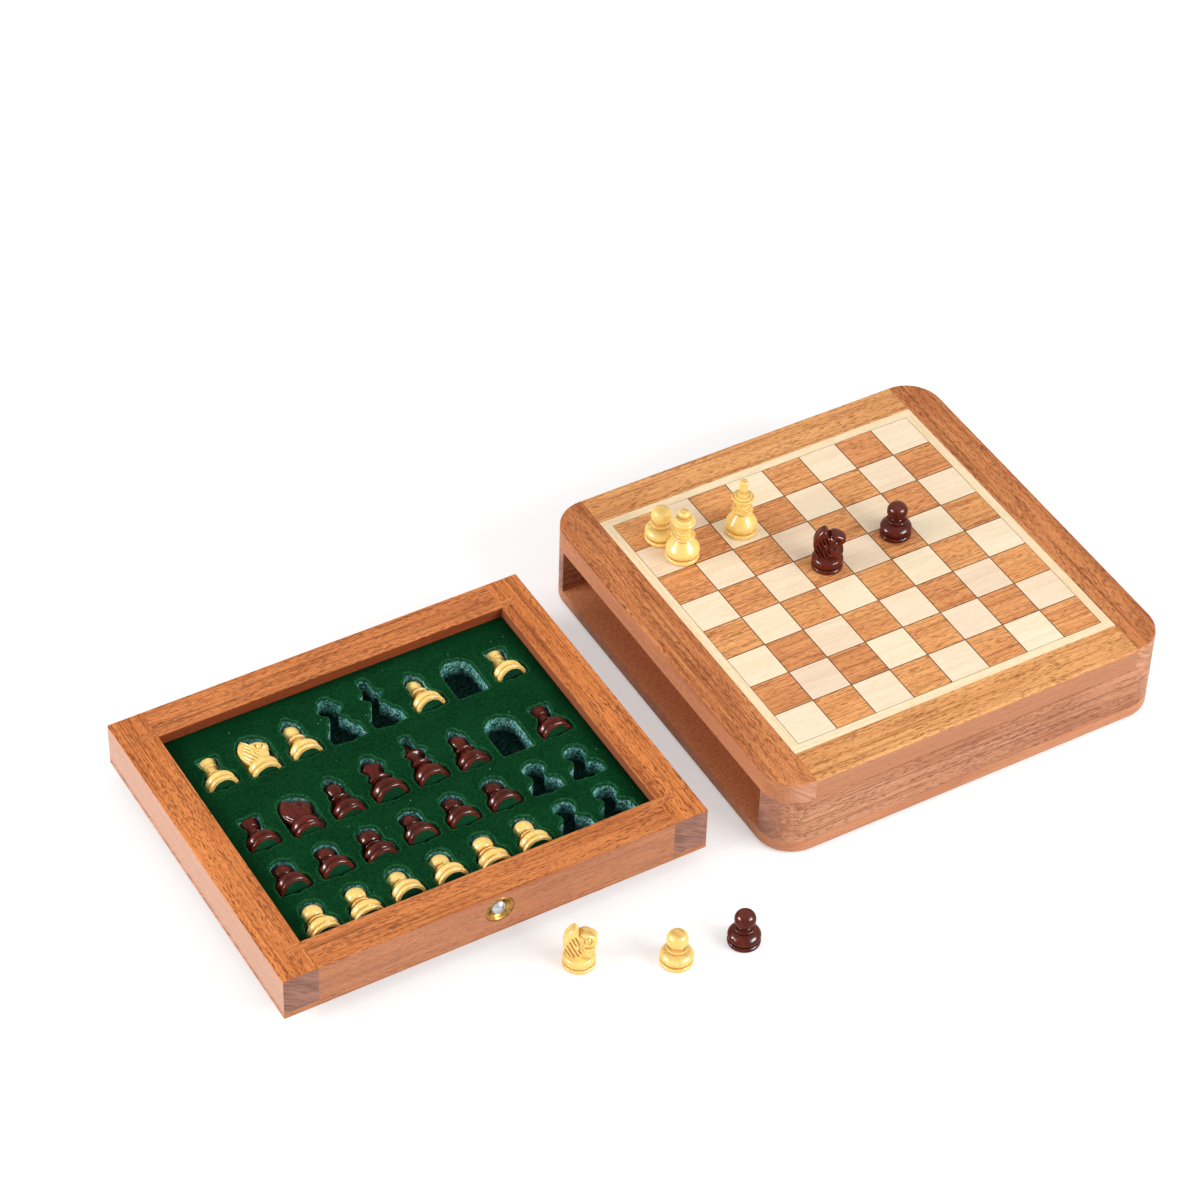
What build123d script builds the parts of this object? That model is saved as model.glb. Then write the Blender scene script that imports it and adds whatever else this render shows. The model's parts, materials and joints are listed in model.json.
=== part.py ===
from build123d import *
from math import asin, atan, cos, degrees, pi, radians, sin
import os

# Travel chess set: a wooden case with an inlaid magnetic board on top, a drawer that pushes
# through the case, and 32 men, most of them lying in pockets of the drawer's velvet insert.
# Millimetres, +Z up. The origin is the centre of the case's underside, on the table. The long
# bay of the case runs along X, and the front is towards -Y. The drawer is shown pulled out
# towards -X, in line with its bay.

os.makedirs("parts", exist_ok=True)

# Case
frame_rail_width = 15.6
case_corner_radius = 15.0
top_thickness = 10.3
bay_height = 21.0
wall_thickness = 14.3
bottom_thickness = 6.0
base_felt_thickness = 0.8
base_felt_inset = 2.5
top_edge_radius = 1.8
bottom_edge_radius = 1.2

# Playing field
square = 17.4
squares_per_side = 8
border_width = 3.8
inlay_thickness = 1.2
inlay_joint = 0.1
steel_thickness = 0.5

# Drawer
drawer_end_inset = 0.3
drawer_side_clearance = 0.8
drawer_floor_clearance = 0.3
drawer_top_clearance = 0.5
drawer_gap = 22.6
drawer_sheet_thickness = 3.0
end_rail_width = 14.3
long_rail_width = 14.6
tongue_length = 6.4
tongue_thickness = 3.5
rail_edge_break = 0.4

# Velvet insert and its pockets
velvet_below_rail = 4.4
insert_clearance = 0.2
pocket_depth = 9.5
pocket_clearance = 0.45
columns = 8
column_margin = 3.4
front_margin = 1.9
pawn_row_step = 23.2
back_row_step = 24.9
tall_row_step = 35.3
rear_margin = 32.9

# Ball catch in the middle of the drawer's front rail
catch_height = 12.0
catch_flange_radius = 5.9
catch_flange_thickness = 1.0
catch_body_radius = 4.8
catch_body_length = 9.0
catch_fit = 0.1
catch_rim_width = 0.9
catch_lip_depth = 0.9
ball_radius = 2.9
ball_bore_clearance = 0.05
ball_standout = 0.7
ball_press = 0.7
strike_radius = 3.4
strike_depth = 0.6

# Men
turned_sides = 12
man_felt_thickness = 0.6
man_felt_inset = 0.5
glue_line = 0.05
man_seat_gap = 0.05
man_pocket_gap = 0.3
knight_thickness = 6.6
knight_cheek_angle = 10
knight_facing = -32

# Heights and places that follow from the sizes above
bottom_level = base_felt_thickness
bay_floor = bottom_level + bottom_thickness
bay_ceiling = bay_floor + bay_height
board_level = bay_ceiling + top_thickness
inlay_level = board_level - inlay_thickness
steel_level = inlay_level - steel_thickness
half_field = squares_per_side * square / 2 + border_width
half_case = half_field + frame_rail_width
case_side = 2 * half_case

drawer_length = case_side - 2 * drawer_end_inset
drawer_width = case_side - 2 * wall_thickness - 2 * drawer_side_clearance
drawer_level = bay_floor + drawer_floor_clearance
drawer_top = bay_ceiling - drawer_top_clearance
rail_level = drawer_level + drawer_sheet_thickness
rail_height = drawer_top - rail_level
velvet_level = drawer_top - velvet_below_rail
pocket_floor = velvet_level - pocket_depth
drawer_x = -drawer_length - drawer_gap
drawer_front = -drawer_width / 2
long_rail_length = drawer_length - 2 * end_rail_width

insert_length = long_rail_length - 2 * insert_clearance
insert_width = drawer_width - 2 * long_rail_width - 2 * insert_clearance
column_pitch = (insert_length - 2 * column_margin) / columns

# The rows keep their shares of the insert's width when it changes
row_steps = front_margin + pawn_row_step + back_row_step + tall_row_step + rear_margin
row_share = insert_width / row_steps
light_pawn_row = front_margin * row_share - insert_width / 2
dark_pawn_row = light_pawn_row + pawn_row_step * row_share
dark_back_row = dark_pawn_row + back_row_step * row_share
light_back_row = dark_back_row + tall_row_step * row_share

# Each turned man as rings of radius and height above its felt, from the foot to the top
man_rings = {
    "pawn": [
        (6.4, 0.0),
        (6.4, 2.4),
        (5.8, 4.9),
        (3.1, 8.4),
        (3.9, 9.4),
        (3.2, 10.3),
        (3.9, 12.2),
        (2.9, 14.7),
        (1.2, 15.4),
    ],
    "rook": [
        (6.3, 0.0),
        (6.3, 2.2),
        (5.7, 4.6),
        (2.7, 8.2),
        (2.7, 11.6),
        (3.9, 15.0),
        (3.9, 16.4),
    ],
    "bishop": [
        (6.3, 0.0),
        (6.3, 2.2),
        (5.7, 4.7),
        (2.8, 9.0),
        (3.9, 10.7),
        (3.9, 11.5),
        (2.6, 12.3),
        (3.5, 14.9),
        (2.8, 17.2),
        (0.6, 20.0),
    ],
    "queen": [
        (6.7, 0.0),
        (6.7, 2.2),
        (6.1, 5.0),
        (3.1, 9.5),
        (4.6, 10.8),
        (4.6, 11.6),
        (2.7, 12.8),
        (3.0, 14.6),
        (4.7, 18.8),
        (4.4, 19.8),
        (2.0, 20.9),
        (2.3, 22.0),
        (1.0, 23.4),
    ],
    "king": [
        (6.4, 0.0),
        (6.4, 2.2),
        (5.8, 4.9),
        (2.9, 9.7),
        (4.2, 11.9),
        (4.2, 12.8),
        (2.7, 13.7),
        (2.9, 15.2),
        (4.3, 17.2),
        (4.3, 18.4),
        (1.8, 19.6),
        (1.8, 25.2),
        (1.3, 25.8),
    ],
    "knight": [
        (6.3, 0.0),
        (6.3, 2.2),
        (5.6, 3.0),
        (5.6, 4.4),
        (4.4, 5.4),
    ],
}

# The knight's head from the side: out along its nose and up from the felt
knight_head = [
    (-4.6, 4.6),
    (-5.7, 7.6),
    (-5.9, 11.2),
    (-5.2, 14.8),
    (-3.6, 17.6),
    (-1.9, 19.2),
    (-0.9, 16.9),
    (0.7, 17.7),
    (3.4, 17.3),
    (5.6, 15.8),
    (5.9, 12.6),
    (5.3, 9.9),
    (3.0, 9.2),
    (5.2, 8.4),
    (5.2, 6.4),
    (4.4, 4.6),
]

# Heights above the felt at which each pocket's outline turns a corner
pocket_corners = {
    "pawn": [4.3, 6.8, 9.6, 10.6, 14.1, 16.6],
    "rook": [3.8, 6.2, 9.6, 12.3, 15.4, 17.9],
    "bishop": [3.9, 6.3, 10.2, 11.3, 13.0, 14.0, 16.6, 18.8],
    "queen": [3.7, 6.5, 10.8, 11.4, 13.2, 14.6, 19.2, 21.4, 22.4],
    "king": [3.7, 6.4, 10.8, 12.4, 14.3, 15.6, 17.8, 19.8, 21.0],
}

# The knight's pocket is a plain arch over its foot
knight_arch = [
    (-6.3, 9.0),
    (-6.0, 14.2),
    (-4.6, 17.6),
    (-1.6, 19.9),
    (1.6, 19.7),
    (5.2, 17.2),
    (6.3, 13.6),
]

# How far each kind of man can tip its head down in its pocket, in degrees
man_tilts = {"pawn": 12, "rook": 9, "bishop": 10, "queen": 8, "king": 8, "knight": 0}


def foot_radius(kind):
    """The radius of a man's foot, which is its widest ring."""
    return man_rings[kind][0][0]


def pocket_plane(kind, column, row_line, tip):
    """Where a man lies in a pocket: its foot's centre, with its head along +Y and tipped down by a
    share of its kind's tilt, and its face along +X."""
    down = sin(radians(tip * man_tilts[kind]))
    level = cos(radians(tip * man_tilts[kind]))
    x = drawer_x + (column - (columns - 1) / 2) * column_pitch
    y = row_line + pocket_clearance + foot_radius(kind) * down
    under_axis = max(
        (height + man_felt_thickness) * down + radius * level for radius, height in man_rings[kind]
    )
    z = pocket_floor + man_pocket_gap + under_axis
    return Plane(origin=(x, y, z), x_dir=(1, 0, 0), z_dir=(0, level, -down))


def standing_plane(x, y, z):
    """Where a man stands upright, turned the way the photographed knights face."""
    return Plane(origin=(x, y, z), x_dir=(1, 0, 0), z_dir=(0, 0, 1)).rotated((0, 0, knight_facing))


def export_piece(piece, name):
    """Name a finished piece and write it as one STEP file."""
    piece.part.label = name
    export_step(piece.part, f"parts/{name}.step")


# Case: felt on the underside
with BuildPart() as base_felt:
    with BuildSketch():
        felt_side = case_side - 2 * base_felt_inset
        RectangleRounded(felt_side, felt_side, case_corner_radius - base_felt_inset)
    extrude(amount=base_felt_thickness)
export_piece(base_felt, "base_felt")

# Case: bottom panel, which is also the floor of the bay
with BuildPart() as bottom_panel:
    with BuildSketch(Plane.XY.offset(bottom_level)):
        RectangleRounded(case_side, case_side, case_corner_radius)
    extrude(amount=bottom_thickness)
    fillet(bottom_panel.faces().sort_by(Axis.Z)[0].edges(), radius=bottom_edge_radius)
export_piece(bottom_panel, "bottom_panel")

# Case: front wall, with the shallow seat that the drawer's ball drops into
with BuildPart() as front_wall:
    with BuildSketch(Plane.XY.offset(bay_floor)):
        RectangleRounded(case_side, case_side, case_corner_radius)
        with Locations((0, -half_case)):
            Rectangle(case_side, 2 * wall_thickness, mode=Mode.INTERSECT)
    extrude(amount=bay_height)
    strike_y = -half_case + wall_thickness - strike_depth + strike_radius
    with Locations((0, strike_y, drawer_level + catch_height)):
        Sphere(strike_radius, mode=Mode.SUBTRACT)
export_piece(front_wall, "front_wall")

# Case: rear wall
with BuildPart() as rear_wall:
    with BuildSketch(Plane.XY.offset(bay_floor)):
        RectangleRounded(case_side, case_side, case_corner_radius)
        with Locations((0, half_case)):
            Rectangle(case_side, 2 * wall_thickness, mode=Mode.INTERSECT)
    extrude(amount=bay_height)
export_piece(rear_wall, "rear_wall")

# Case: the two side rails of the top frame run from front to rear and carry its round corners
for name, side in (("top_left_rail", -1), ("top_right_rail", 1)):
    with BuildPart() as side_rail:
        with BuildSketch(Plane.XY.offset(bay_ceiling)):
            RectangleRounded(case_side, case_side, case_corner_radius)
            with Locations((side * half_case, 0)):
                Rectangle(2 * frame_rail_width, case_side, mode=Mode.INTERSECT)
        extrude(amount=top_thickness)
        upper_edges = side_rail.faces().sort_by(Axis.Z)[-1].edges()
        joint_edges = upper_edges.filter_by(Axis.Y).sort_by(lambda edge: abs(edge.center().X))[:1]
        fillet([edge for edge in upper_edges if edge not in joint_edges], radius=top_edge_radius)
    export_piece(side_rail, name)

# Case: the front and rear rails of the top frame fit between the side rails
for name, side in (("top_front_rail", -1), ("top_rear_rail", 1)):
    with BuildPart() as cross_rail:
        with BuildSketch(Plane.XY.offset(bay_ceiling)):
            with Locations((0, side * (half_case - frame_rail_width / 2))):
                Rectangle(2 * half_field, frame_rail_width)
        extrude(amount=top_thickness)
        upper_edges = cross_rail.faces().sort_by(Axis.Z)[-1].edges().filter_by(Axis.X)
        fillet(upper_edges.sort_by(lambda edge: abs(edge.center().Y))[-1], radius=top_edge_radius)
    export_piece(cross_rail, name)

# Board: core panel glued inside the frame, over the bay
with BuildPart() as board_core:
    with BuildSketch(Plane.XY.offset(bay_ceiling)):
        Rectangle(2 * half_field, 2 * half_field)
    extrude(amount=steel_level - bay_ceiling)
export_piece(board_core, "board_core")

# Board: steel sheet that the magnets in the men's feet hold on to
with BuildPart() as steel_sheet:
    with BuildSketch(Plane.XY.offset(steel_level)):
        Rectangle(2 * half_field, 2 * half_field)
    extrude(amount=steel_thickness)
export_piece(steel_sheet, "steel_sheet")

# Board: the corner square at the front left is light, and its diagonal neighbours follow it
for name, sign in (("light_squares", 1), ("dark_squares", -1)):
    with BuildPart() as squares:
        with BuildSketch(Plane.XY.offset(inlay_level)):
            for shift in (-square / 2, square / 2):
                with Locations((shift, sign * shift)):
                    with GridLocations(2 * square, 2 * square, squares_per_side // 2, squares_per_side // 2):
                        Rectangle(square - inlay_joint, square - inlay_joint)
        extrude(amount=inlay_thickness)
    export_piece(squares, name)

# Board: light border strips, the front and rear ones running through at the corners
strip_offset = half_field - border_width / 2
for name, x, y, length_x, length_y in (
    ("border_front_strip", 0, -strip_offset, 2 * half_field, border_width),
    ("border_rear_strip", 0, strip_offset, 2 * half_field, border_width),
    ("border_left_strip", -strip_offset, 0, border_width, squares_per_side * square),
    ("border_right_strip", strip_offset, 0, border_width, squares_per_side * square),
):
    with BuildPart() as strip:
        with BuildSketch(Plane.XY.offset(inlay_level)):
            with Locations((x, y)):
                Rectangle(length_x, length_y)
        extrude(amount=inlay_thickness)
    export_piece(strip, name)

# Drawer: bottom sheet glued under the rails
with BuildPart() as drawer_bottom:
    with BuildSketch(Plane.XY.offset(drawer_level)):
        with Locations((drawer_x, 0)):
            Rectangle(drawer_length, drawer_width)
    extrude(amount=drawer_sheet_thickness)
export_piece(drawer_bottom, "drawer_bottom")

# Drawer: end rails run from front to rear and are notched for the tongues of the long rails
tongue_offset = drawer_width / 2 - long_rail_width + tongue_thickness / 2
for name, side in (("drawer_left_rail", -1), ("drawer_right_rail", 1)):
    end_x = drawer_x + side * drawer_length / 2
    with BuildPart() as end_rail:
        with BuildSketch(Plane.XY.offset(rail_level)):
            with Locations((end_x - side * end_rail_width / 2, 0)):
                Rectangle(end_rail_width, drawer_width)
            notch_x = end_x - side * (end_rail_width - tongue_length / 2)
            with Locations((notch_x, -tongue_offset), (notch_x, tongue_offset)):
                Rectangle(tongue_length, tongue_thickness, mode=Mode.SUBTRACT)
        extrude(amount=rail_height)
        upper_edges = end_rail.faces().sort_by(Axis.Z)[-1].edges().filter_by(Axis.Y)
        outer_edge = upper_edges.sort_by(lambda edge: side * edge.center().X)[-1]
        chamfer(outer_edge, length=rail_edge_break)
    export_piece(end_rail, name)

# Drawer: front and rear rails between the end rails, each with a tongue at both ends
for name, side in (("drawer_front_rail", -1), ("drawer_rear_rail", 1)):
    with BuildPart() as long_rail:
        with BuildSketch(Plane.XY.offset(rail_level)):
            with Locations((drawer_x, side * (drawer_width - long_rail_width) / 2)):
                Rectangle(long_rail_length, long_rail_width)
            with Locations((drawer_x, side * tongue_offset)):
                Rectangle(long_rail_length + 2 * tongue_length, tongue_thickness)
        extrude(amount=rail_height)
        upper_edges = long_rail.faces().sort_by(Axis.Z)[-1].edges().filter_by(Axis.X)
        outer_edge = upper_edges.sort_by(lambda edge: side * edge.center().Y)[-1]
        chamfer(outer_edge, length=rail_edge_break)
        if side < 0:
            with Locations(Plane(origin=(drawer_x, drawer_front, drawer_level + catch_height), z_dir=(0, -1, 0))):
                CounterBoreHole(
                    radius=catch_body_radius,
                    counter_bore_radius=catch_flange_radius,
                    counter_bore_depth=catch_flange_thickness,
                    depth=catch_body_length,
                )
    export_piece(long_rail, name)

# Catch: brass cup, turned about Y, with a dished mouth whose lip keeps the ball in
catch_plane = Plane(
    origin=(drawer_x, drawer_front, drawer_level + catch_height), x_dir=(1, 0, 0), z_dir=(0, 0, 1)
)
ball_depth = ball_radius - ball_standout
ball_bore_radius = ball_radius + ball_bore_clearance
lip_angle = degrees(asin((ball_depth - catch_lip_depth) / ball_bore_radius))
lip_radius = ball_bore_radius * cos(radians(lip_angle))
cup_bore_end = ball_depth + ball_radius + ball_press + ball_bore_clearance
with BuildPart() as catch_cup:
    with BuildSketch(catch_plane):
        with BuildLine():
            CenterArc((0, ball_depth), ball_bore_radius, -lip_angle, lip_angle)
            Polyline(
                (ball_bore_radius, ball_depth),
                (ball_bore_radius, cup_bore_end),
                (0, cup_bore_end),
                (0, catch_body_length - catch_fit),
                (catch_body_radius - catch_fit, catch_body_length - catch_fit),
                (catch_body_radius - catch_fit, catch_flange_thickness),
                (catch_flange_radius - catch_fit, catch_flange_thickness),
                (catch_flange_radius - catch_fit, 0),
                (catch_flange_radius - catch_rim_width, 0),
                (lip_radius, catch_lip_depth),
            )
        make_face()
    revolve(axis=Axis(catch_plane.origin, catch_plane.y_dir))
export_piece(catch_cup, "catch_cup")

# Catch: steel ball, pressed out by its spring
with BuildPart() as catch_ball:
    with Locations((drawer_x, drawer_front + ball_depth, drawer_level + catch_height)):
        Sphere(ball_radius)
export_piece(catch_ball, "catch_ball")


def half_width(kind, height):
    """A man's radius at a height above the bottom of its felt."""
    rings = man_rings[kind]
    if height <= man_felt_thickness:
        return rings[0][0] if height >= 0 else 0
    for (low_radius, low), (high_radius, high) in zip(rings, rings[1:]):
        if height <= high + man_felt_thickness:
            share = (height - man_felt_thickness - low) / (high - low)
            return low_radius + share * (high_radius - low_radius)
    return 0


def pocket_outline(kind):
    """Corner points of a pocket, across and up from the foot of a man that lies level in it. It
    leaves the clearance round that man, and round one that lies tipped and so a little further up."""
    foot = foot_radius(kind) + pocket_clearance
    if kind == "knight":
        arch = []
        for x, height in knight_arch:
            side_gap = pocket_clearance if x > 0 else -pocket_clearance
            arch.append((x + side_gap, height + man_felt_thickness))
        return [(-foot, -pocket_clearance), *arch, (foot, -pocket_clearance)]
    slack = foot_radius(kind) * sin(radians(man_tilts[kind]))
    right = [(foot, -pocket_clearance)]
    for height in pocket_corners[kind]:
        widest = max(half_width(kind, height), half_width(kind, height - slack))
        right.append((widest + pocket_clearance, height))
    top_radius, top_height = man_rings[kind][-1]
    top = top_height + man_felt_thickness + slack + pocket_clearance
    right.append((top_radius + pocket_clearance, top))
    return right + [(-x, height) for x, height in reversed(right)]


# The pockets of each row, from left to right
back_row = ("rook", "knight", "bishop", "queen", "king", "bishop", "knight", "rook")
pocket_rows = (
    (light_pawn_row, ("pawn",) * columns),
    (dark_pawn_row, ("pawn",) * columns),
    (dark_back_row, back_row),
    (light_back_row, back_row),
)

# Insert: velvet over foam, between the rails, with one pocket a man
with BuildPart() as velvet_insert:
    with BuildSketch(Plane.XY.offset(rail_level)):
        with Locations((drawer_x, 0)):
            Rectangle(insert_length, insert_width)
    extrude(amount=velvet_level - rail_level)
    with BuildSketch(Plane.XY.offset(pocket_floor)):
        for row_line, kinds in pocket_rows:
            for column, kind in enumerate(kinds):
                x = drawer_x + (column - (columns - 1) / 2) * column_pitch
                with Locations((x, row_line + pocket_clearance)):
                    Polygon(*pocket_outline(kind), align=None)
    extrude(amount=pocket_depth, mode=Mode.SUBTRACT)
export_piece(velvet_insert, "velvet_insert")


# Men: each kind is made once, upright, from the bottom of its felt. The wooden body is a stack of
# tapered prisms through its rings, and the felt disc is glued under its foot.
man_forms = {}
for kind, rings in man_rings.items():
    with BuildPart() as man_form:
        for (radius, height), (next_radius, next_height) in zip(rings, rings[1:]):
            rise = next_height - height
            flat_inset = (radius - next_radius) * cos(pi / turned_sides)
            with BuildSketch(Plane.XY.offset(man_felt_thickness + height)):
                RegularPolygon(radius, turned_sides)
            extrude(amount=rise, taper=degrees(atan(flat_inset / rise)))
        if kind == "knight":
            with BuildSketch(Plane(origin=(0, 0, 0), x_dir=(1, 0, 0), z_dir=(0, -1, 0))):
                Polygon(*knight_head, align=None)
            extrude(amount=knight_thickness / 2, both=True, taper=knight_cheek_angle)
        with BuildSketch():
            RegularPolygon(foot_radius(kind) - man_felt_inset, turned_sides)
        extrude(amount=man_felt_thickness - glue_line)
    man_forms[kind] = man_form.part


def place_man(name, kind, place):
    """Put one man where it lies or stands."""
    with BuildPart() as man:
        with Locations(place):
            add(man_forms[kind])
    export_piece(man, name)


# Men lying in the drawer: name, kind, column from the left, row, and how far the head is tipped
# down, from 0, level, to 1, on the pocket's floor
drawer_men = [
    ("light_rook_1", "rook", 0, light_back_row, 0.7),
    ("light_knight_1", "knight", 1, light_back_row, 0),
    ("light_bishop_1", "bishop", 2, light_back_row, 0.5),
    ("light_bishop_2", "bishop", 5, light_back_row, 0.9),
    ("light_rook_2", "rook", 7, light_back_row, 1),
    ("dark_rook_1", "rook", 0, dark_back_row, 0.9),
    ("dark_knight_1", "knight", 1, dark_back_row, 0),
    ("dark_bishop_1", "bishop", 2, dark_back_row, 0.1),
    ("dark_queen", "queen", 3, dark_back_row, 1),
    ("dark_king", "king", 4, dark_back_row, 1),
    ("dark_bishop_2", "bishop", 5, dark_back_row, 0.2),
    ("dark_rook_2", "rook", 7, dark_back_row, 0.9),
]
dark_pawn_tips = (1, 0.9, 0, 1, 0.8, 0.9)
light_pawn_tips = (0.1, 0, 0.9, 0.7, 0, 0.4)
for column, (dark_tip, light_tip) in enumerate(zip(dark_pawn_tips, light_pawn_tips)):
    drawer_men.append((f"dark_pawn_{column + 1}", "pawn", column, dark_pawn_row, dark_tip))
    drawer_men.append((f"light_pawn_{column + 1}", "pawn", column, light_pawn_row, light_tip))
for name, kind, column, row_line, tip in drawer_men:
    place_man(name, kind, pocket_plane(kind, column, row_line, tip))

# Men standing on the board: name, kind, place on the field
board_men = [
    ("light_pawn_7", "pawn", -56.5, 54.5),
    ("light_queen", "queen", -54.3, 41.3),
    ("light_king", "king", -26.1, 43.0),
    ("dark_knight_2", "knight", -7.1, 9.2),
    ("dark_pawn_7", "pawn", 26.8, 11.9),
]
for name, kind, x, y in board_men:
    place_man(name, kind, standing_plane(x, y, board_level + man_seat_gap))

# Men standing on the table in front of the drawer: name, kind, place
table_men = [
    ("light_knight_2", "knight", -179.0, -96.0),
    ("light_pawn_8", "pawn", -147.0, -112.5),
    ("dark_pawn_8", "pawn", -120.0, -116.0),
]
for name, kind, x, y in table_men:
    place_man(name, kind, standing_plane(x, y, 0))
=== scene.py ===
# %% [markdown]
# The object is a wooden travel chess set: a flat case with an inlaid board on top, a drawer that
# slides out of the case's open end, and 32 small turned men. The imported model gives every solid
# its place, in metres, with the case's underside on the table. This first cell loads that frame and
# keeps its solids, so that each one's box can be read. The case, the drawer and the
# catch take their places from the frame, and each man's place is written out in its own cell.

# %% Load the frame
import json

import bpy
import numpy as np
from mathutils import Matrix, Vector
from mathutils.geometry import tessellate_polygon

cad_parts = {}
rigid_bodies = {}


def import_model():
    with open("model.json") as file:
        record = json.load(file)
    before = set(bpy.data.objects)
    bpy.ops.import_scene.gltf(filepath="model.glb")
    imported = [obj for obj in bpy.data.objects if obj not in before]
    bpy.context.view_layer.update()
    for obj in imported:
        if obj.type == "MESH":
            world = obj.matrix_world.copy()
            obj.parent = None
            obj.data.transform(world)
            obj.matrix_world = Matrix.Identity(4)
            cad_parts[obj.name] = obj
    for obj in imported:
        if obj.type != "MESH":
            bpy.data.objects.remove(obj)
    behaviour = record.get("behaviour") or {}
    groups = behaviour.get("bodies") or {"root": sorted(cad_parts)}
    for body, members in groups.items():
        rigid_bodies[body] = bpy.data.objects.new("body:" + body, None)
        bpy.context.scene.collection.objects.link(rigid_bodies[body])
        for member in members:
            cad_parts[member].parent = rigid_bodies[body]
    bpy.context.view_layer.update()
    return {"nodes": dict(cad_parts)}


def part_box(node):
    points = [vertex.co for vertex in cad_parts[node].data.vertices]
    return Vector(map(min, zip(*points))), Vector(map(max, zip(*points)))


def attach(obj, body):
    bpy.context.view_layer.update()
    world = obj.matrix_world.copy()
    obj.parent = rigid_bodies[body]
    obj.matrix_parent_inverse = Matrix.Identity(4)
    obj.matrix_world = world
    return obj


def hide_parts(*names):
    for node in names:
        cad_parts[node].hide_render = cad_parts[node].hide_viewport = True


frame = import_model()
nodes = frame["nodes"]
scene = bpy.context.scene
print("nodes in the frame:", len(nodes))

# %% [markdown]
# Sizes below are written in millimetres, as a maker would write them, and turned into metres once.
# Colours are written as a painter reads them, 0 to 255, and turned into the linear values that
# the shaders want. Both helpers are small, but they keep every later cell readable.

# %% Units and colours
MM = 0.001


def paint(red, green, blue):
    """A colour given as 0 to 255 as the screen shows it, turned into linear light, with alpha 1."""
    screen = np.array([red, green, blue]) / 255.0
    linear = np.where(screen <= 0.04045, screen / 12.92, ((screen + 0.055) / 1.055) ** 2.4)
    return (*linear.tolist(), 1.0)


def spot(node):
    """The low and high corners of a node's box, in millimetres."""
    low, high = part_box(node)
    return np.array(low) / MM, np.array(high) / MM


# %% [markdown]
# A turned or milled surface is a grid of points: one direction goes round the piece and the other
# follows its profile. The helpers here make such a grid's faces, put them into a mesh and shade it
# smooth, with creases where two faces meet at an angle. Each point also carries its place in the
# wood, as an attribute named timber whose first number runs along the grain, so that one material
# serves a rail that lies across the case as well as a man that stands or lies. A second attribute,
# cut, says how squarely a face cuts across the grain, because end grain drinks more finish. A third,
# hollow, says how deep in a groove a point lies, and the colour is darker there.

# %% Grids into meshes
GRAIN_ORDER = {"x": (0, 1, 2), "y": (1, 0, 2), "z": (2, 0, 1)}
chance = np.random.default_rng(11)


def ring_faces(rings, around, first=0):
    """Quads between rings of points that close on themselves: each joins a point, its neighbour in
    the ring, and the same two in the next ring."""
    along = first + np.arange(rings - 1)[:, None] * around
    step = np.arange(around)[None, :]
    after = (step + 1) % around
    quads = np.stack([along + step, along + after, along + around + after, along + around + step], 2)
    return quads.reshape(-1, 4).tolist()


def make_piece(name, points, faces, material, crease=35, timber=None, along=None, hollow=None):
    """A mesh object from points in millimetres, in the frame, with its material. The places in the
    wood are given in timber, along is the direction of the grain in the frame, and hollow says how
    deep in a groove each point lies, from 0 to 1."""
    mesh = bpy.data.meshes.new(name)
    mesh.from_pydata((np.asarray(points) * MM).tolist(), [], faces)
    mesh.materials.append(material)
    if timber is not None:
        places = mesh.attributes.new("timber", "FLOAT_VECTOR", "POINT")
        shifted = np.asarray(timber) + chance.uniform(100, 900, 3)
        places.data.foreach_set("vector", (shifted * MM).astype(np.float32).ravel())
    if hollow is not None:
        grooves = mesh.attributes.new("hollow", "FLOAT", "POINT")
        grooves.data.foreach_set("value", np.asarray(hollow, np.float32))
    mesh.update()
    if along is not None:
        normals = np.zeros(len(mesh.polygons) * 3, np.float32)
        mesh.polygons.foreach_get("normal", normals)
        squareness = np.abs(normals.reshape(-1, 3) @ np.asarray(along, np.float32)) ** 2
        cut = mesh.attributes.new("cut", "FLOAT", "FACE")
        cut.data.foreach_set("value", squareness.astype(np.float32))
    mesh.polygons.foreach_set("use_smooth", np.ones(len(mesh.polygons), bool))
    mesh.set_sharp_from_angle(angle=np.radians(crease))
    piece = bpy.data.objects.new(name, mesh)
    scene.collection.objects.link(piece)
    return piece


def dress(piece, body, slot, *replaced):
    """The piece rides on a body and stands for the nodes it replaces. The slot is not used."""
    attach(piece, body)
    if replaced:
        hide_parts(*replaced)
    return piece


# %% [markdown]
# A pattern is a chain of shader nodes, and each helper here adds one or two of them and gives back
# what comes out. That lets a finish be read like a formula. An input is either a link from another
# node or a plain value, and the helpers take both.

# %% Node helpers
FLOAT, COLOUR, VECTOR = "NodeSocketFloat", "NodeSocketColor", "NodeSocketVector"


def feed(tree, node, inputs):
    """Give a node its inputs, each of which is either a link or a value."""
    for name, value in inputs.items():
        if isinstance(value, bpy.types.NodeSocket):
            tree.links.new(value, node.inputs[name])
        else:
            node.inputs[name].default_value = value


def add_node(tree, kind, inputs=None, **settings):
    """A shader node with its settings and its inputs."""
    made = tree.nodes.new(kind)
    for name, value in settings.items():
        setattr(made, name, value)
    feed(tree, made, inputs or {})
    return made


def object_place(tree):
    """Where a point is in its piece, in metres."""
    return add_node(tree, "ShaderNodeTexCoord").outputs["Object"]


def attribute(tree, name, output="Fac"):
    """What the mesh says at a point under a name."""
    return add_node(tree, "ShaderNodeAttribute", attribute_name=name).outputs[output]


def calc(tree, operation, first, second=0.0, clamp=False):
    """The output of one Math node."""
    made = add_node(tree, "ShaderNodeMath", {0: first, 1: second}, operation=operation, use_clamp=clamp)
    return made.outputs[0]


def weighed(tree, *parts):
    """The sum of several values, each times its own weight."""
    terms = [calc(tree, "MULTIPLY", value, weight) for value, weight in parts]
    total = terms[0]
    for term in terms[1:]:
        total = calc(tree, "ADD", total, term)
    return total


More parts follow.
